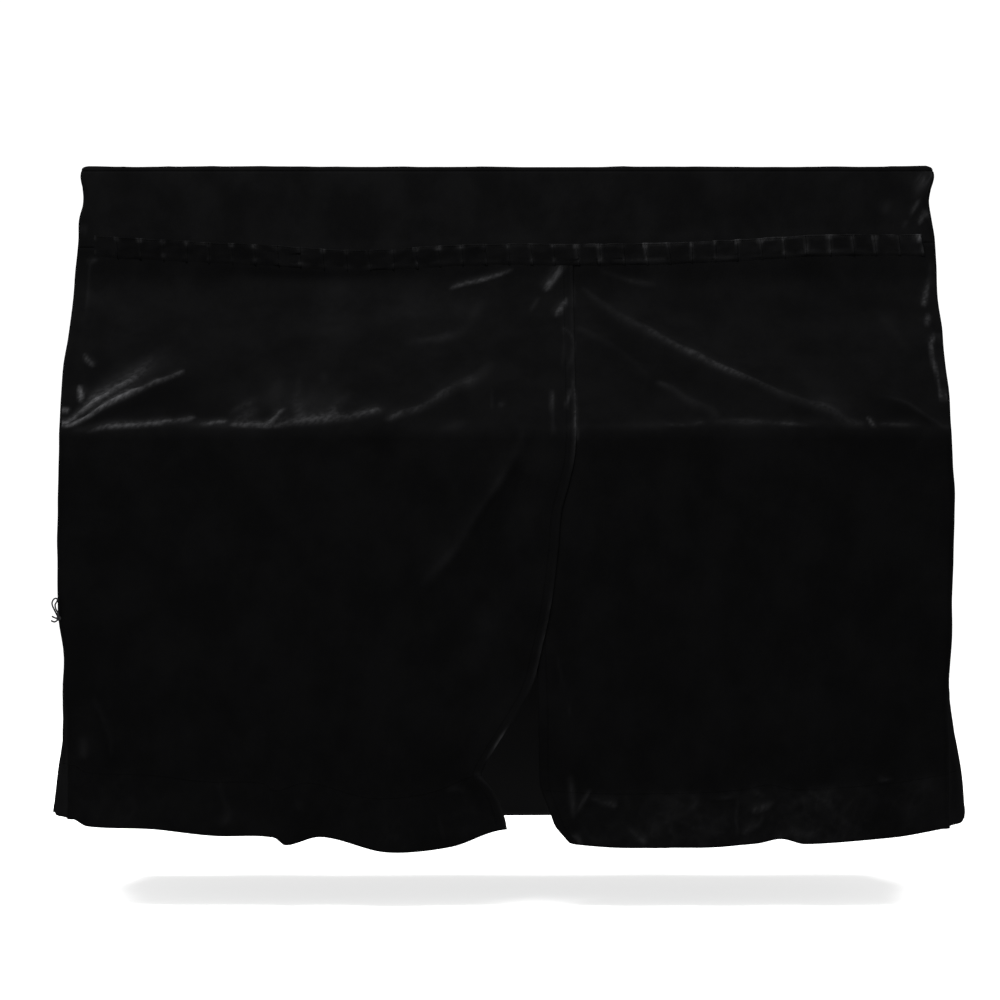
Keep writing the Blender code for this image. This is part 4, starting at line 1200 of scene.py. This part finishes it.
def back_place(column, row):
    share = np.clip((column - CORNER_COLUMNS) / (BACK_COLUMNS - 2 * CORNER_COLUMNS), 0, 1)
    drop = mixed(VALANCE_TOP, BACK_HEM, row / BACK_ROWS)
    x = (back_girth(drop) - CORNER_RADIUS) * (1 - 2 * share)
    to_corner = back_girth(drop) - np.abs(x)
    raised, shine = creased(BACK_CREASES, x, drop)
    near = eased(to_corner, CORNER_RADIUS, 0.04) * eased(drop, 0.005, 0.04)
    relief = near * (HUNG_CRINKLES * crinkles(x, drop, seed=29) + raised)
    relief += eased(to_corner, CORNER_RADIUS, 0.080) * rippled(BACK_RIPPLES, x, drop, BACK_HEM)
    flat = np.column_stack((x, TOP_HALF_DEPTH + relief, -drop))
    points = cornered(flat, column, 1, 1, drop)
    points = cornered(points, BACK_COLUMNS - column, -1, 1, drop)
    return points, (NO_EDGE + 0 * x, BACK_HEM - drop), SIDE_PILE + HUNG_HIGHLIGHTS * shine * near


back = cloth("back_velvet", BACK_COLUMNS, BACK_ROWS, back_place, (front_velvet, reverse))
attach(back, "root")
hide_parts("back_panel")


# The heading band, a strip of the same velvet in flat lapped pleats. It is sewn down
# along both edges over the seam of the valance and the curtains.

BAND_LEFT = -0.737
BAND_RIGHT = 0.745
BAND_PLEATS = 36
BAND_ROWS = 20
BAND_CLOTH = 0.0010
BAND_CLEAR = 0.0004
BAND_PILE = 0.0048
# The two rows of stitches, by height from -1 at the band's lower edge to 1 at its top.
LOWER_STITCH = -0.50
UPPER_STITCH = 0.86
# The band's upper edge, as (x, drop).
BAND_TOP = (
    (-0.737, 0.1215), (-0.657, 0.1262), (-0.572, 0.1305), (-0.531, 0.1335), (-0.451, 0.1362),
    (-0.366, 0.1423), (-0.310, 0.1460), (-0.240, 0.1465), (-0.166, 0.1422), (-0.080, 0.1376),
    (0.003, 0.1356), (0.100, 0.1364), (0.182, 0.1361), (0.271, 0.1350), (0.357, 0.1316), (0.433, 0.1278),
    (0.500, 0.1235), (0.560, 0.1200), (0.745, 0.1193),
)
# One pleat's columns: the share of the pitch, and how far the cloth lifts off its back.
# The last ones turn under, to the next pleat's start.
PLEAT = (
    (0.00, 0.0008), (0.05, 0.0010), (0.11, 0.0011), (0.20, 0.0012), (0.50, 0.0016), (0.74, 0.0019),
    (0.83, 0.0021), (0.90, 0.0023), (0.96, 0.0025), (1.01, 0.0026), (1.04, 0.0022), (1.03, 0.0014),
    (1.00, 0.0009),
)


def band_tone_and_highlights(x, up, fold, off, right):
    """The band's pile tone with painted highlights, off a fold by that share of the pleats' pitch.

    Painted highlight spots lie on each fold, at the band's top and on its lower row of stitches. Broken
    painted highlight lines join them, painted light lightens the shade at both edges, and a painted
    highlight ends the band on the right.
    """
    size = 0.10 + 0.04 * soft_noise(fold * 1.9, up, 1.0, seed=58)
    spot = np.exp(-((off / size) ** 2))
    stitched = np.exp(-(((up - LOWER_STITCH) / 0.20) ** 2))
    above = eased(up, LOWER_STITCH - 0.15, LOWER_STITCH + 0.15)
    knob = eased(up, 0.42, 0.78) + 0.7 * stitched
    stroke = spot * ((0.004 + 0.026 * right) * above + (0.048 + 0.006 * right) * knob)
    broken = eased(soft_noise(x, 0.02 * up, 0.022, seed=56), -0.3, 0.5)
    rim = broken * (0.016 + 0.014 * right) * (eased(up, 0.66, 0.86) + 0.6 * stitched)
    uneven = np.clip(0.75 + 0.9 * soft_noise(fold * 2.9, 0.9 * up, 1.0, seed=55), 0.2, 2)
    end = 0.16 * np.exp(-(((x - BAND_RIGHT + 0.004) / 0.005) ** 2)) * eased(up, 0.1, 0.7)
    patch = eased(soft_noise(x, 0.03 * up, 0.016, seed=59), -0.45, 0.55)
    painted_edge_light = (0.007 + 0.014 * right) * (eased(up, 0.92, 1.0) + 0.8 * eased(-up, 0.92, 1.0))
    base = BAND_PILE + 0.0034 * right + 0.0050 * patch + painted_edge_light
    return base + uneven * np.maximum(stroke, rim) + end


def band_place(column, row):
    """The pleats lap to the right, and lie flatter at the band's two rows of stitches."""
    pitch = (BAND_RIGHT - BAND_LEFT) / BAND_PLEATS
    pleat, step = np.divmod(column, len(PLEAT))
    shares, lifts = np.array(PLEAT).T
    share, lift = shares[step.astype(int)], lifts[step.astype(int)]
    up = 1 - 2 * row / BAND_ROWS
    fold = pleat + (step > len(PLEAT) / 2)
    jitter = 0.0022 * soft_noise(fold * 3.1, 0 * fold, 1.0, seed=51)
    slant = -0.0022 * up * (1 + soft_noise(fold * 1.7, 0 * fold, 1.0, seed=54))
    x = BAND_LEFT + (pleat + share) * pitch + (jitter + slant) * eased(share, 0, 0.9)
    right = eased(x, -0.10, 0.20)
    flat = eased(up, 0.60, 0.98) + eased(-up, 0.30, 0.50)
    lift = mixed(lift, 0.0008 + 0.3 * lift, flat)
    fullness = 0.45 + 0.45 * right + 0.2 * soft_noise(pleat * 2.3, up, 1.0, seed=52)
    lift = mixed(lift * fullness + 0.0006, 0.0007, eased(-up, 0.75, 1.0))
    short_waves = 0.0009 * soft_noise(x, up, 0.011, seed=53)
    edge = short_waves + 0.0009 * soft_noise(x, up, 0.035, seed=57)
    drop = along(BAND_TOP, x) + (1 - up) * (BAND_HEIGHT / 2) + edge
    points = np.column_stack((x, -TOP_HALF_DEPTH - BAND_CLEAR - lift, -drop))
    off = np.abs((share + 0.5) % 1 - 0.5)
    pile_tone_and_painted_light = band_tone_and_highlights(x, up, fold, off, right)
    return points, (x, (up + 1) * BAND_HEIGHT / 2), pile_tone_and_painted_light


band_stitches = BAND_HEIGHT * (1 + UPPER_STITCH) / 2
band_velvet = velvet_finish("band_velvet", band_stitches, NO_STITCHES)
band_columns = len(PLEAT) * BAND_PLEATS
band = cloth("heading_band_pleats", band_columns, BAND_ROWS, band_place, (band_velvet,))
band.modifiers["thickness"].thickness = BAND_CLOTH
band.modifiers["thickness"].use_even_offset = False
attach(band, "root")
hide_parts("heading_band")


# The studio: a plain pale floor, a white surround, and soft lamps overhead, behind and
# on both sides.

FLOOR_Z = -1.295
bpy.ops.mesh.primitive_plane_add(size=60, location=(0, 0, FLOOR_Z))
floor = bpy.context.object
floor.name = "floor"
floor_paint = Finish("floor_paint")
floor_paint.set("Base Color", (0.38, 0.38, 0.38, 1))
floor_paint.set("Roughness", 0.9)
floor_paint.set("Emission Color", (1, 1, 1, 1))
floor_paint.set("Emission Strength", 0.74)
floor.data.materials.append(floor_paint.material)

surround = bpy.data.worlds.new("surround")
surround.use_nodes = True
surround.node_tree.nodes["Background"].inputs["Color"].default_value = (1, 1, 1, 1)
surround.node_tree.nodes["Background"].inputs["Strength"].default_value = 1.1
bpy.context.scene.world = surround
bpy.context.scene.view_settings.view_transform = "Standard"

for name, place, aim, size, power in (
    ("ceiling_lamp", (-0.4, -1.6, 2.0), (0.0, -0.3, -0.4), 1.2, 160.0),
    ("left_lamp", (-3.0, 1.2, 1.2), (-0.8, -0.1, -0.7), 0.8, 160.0),
    ("right_lamp", (3.0, 1.0, 1.4), (0.8, -0.1, -0.7), 0.8, 160.0),
    ("rear_lamp", (-2.6, 2.6, 1.3), (0.1, 0.2, -0.6), 0.8, 230.0),
):
    lamp_light = bpy.data.lights.new(name, "AREA")
    lamp_light.size = size
    lamp_light.energy = power
    lamp = linked(bpy.data.objects.new(name, lamp_light))
    lamp.location = place
    lamp.rotation_euler = (Vector(aim) - Vector(place)).to_track_quat("-Z", "Y").to_euler()
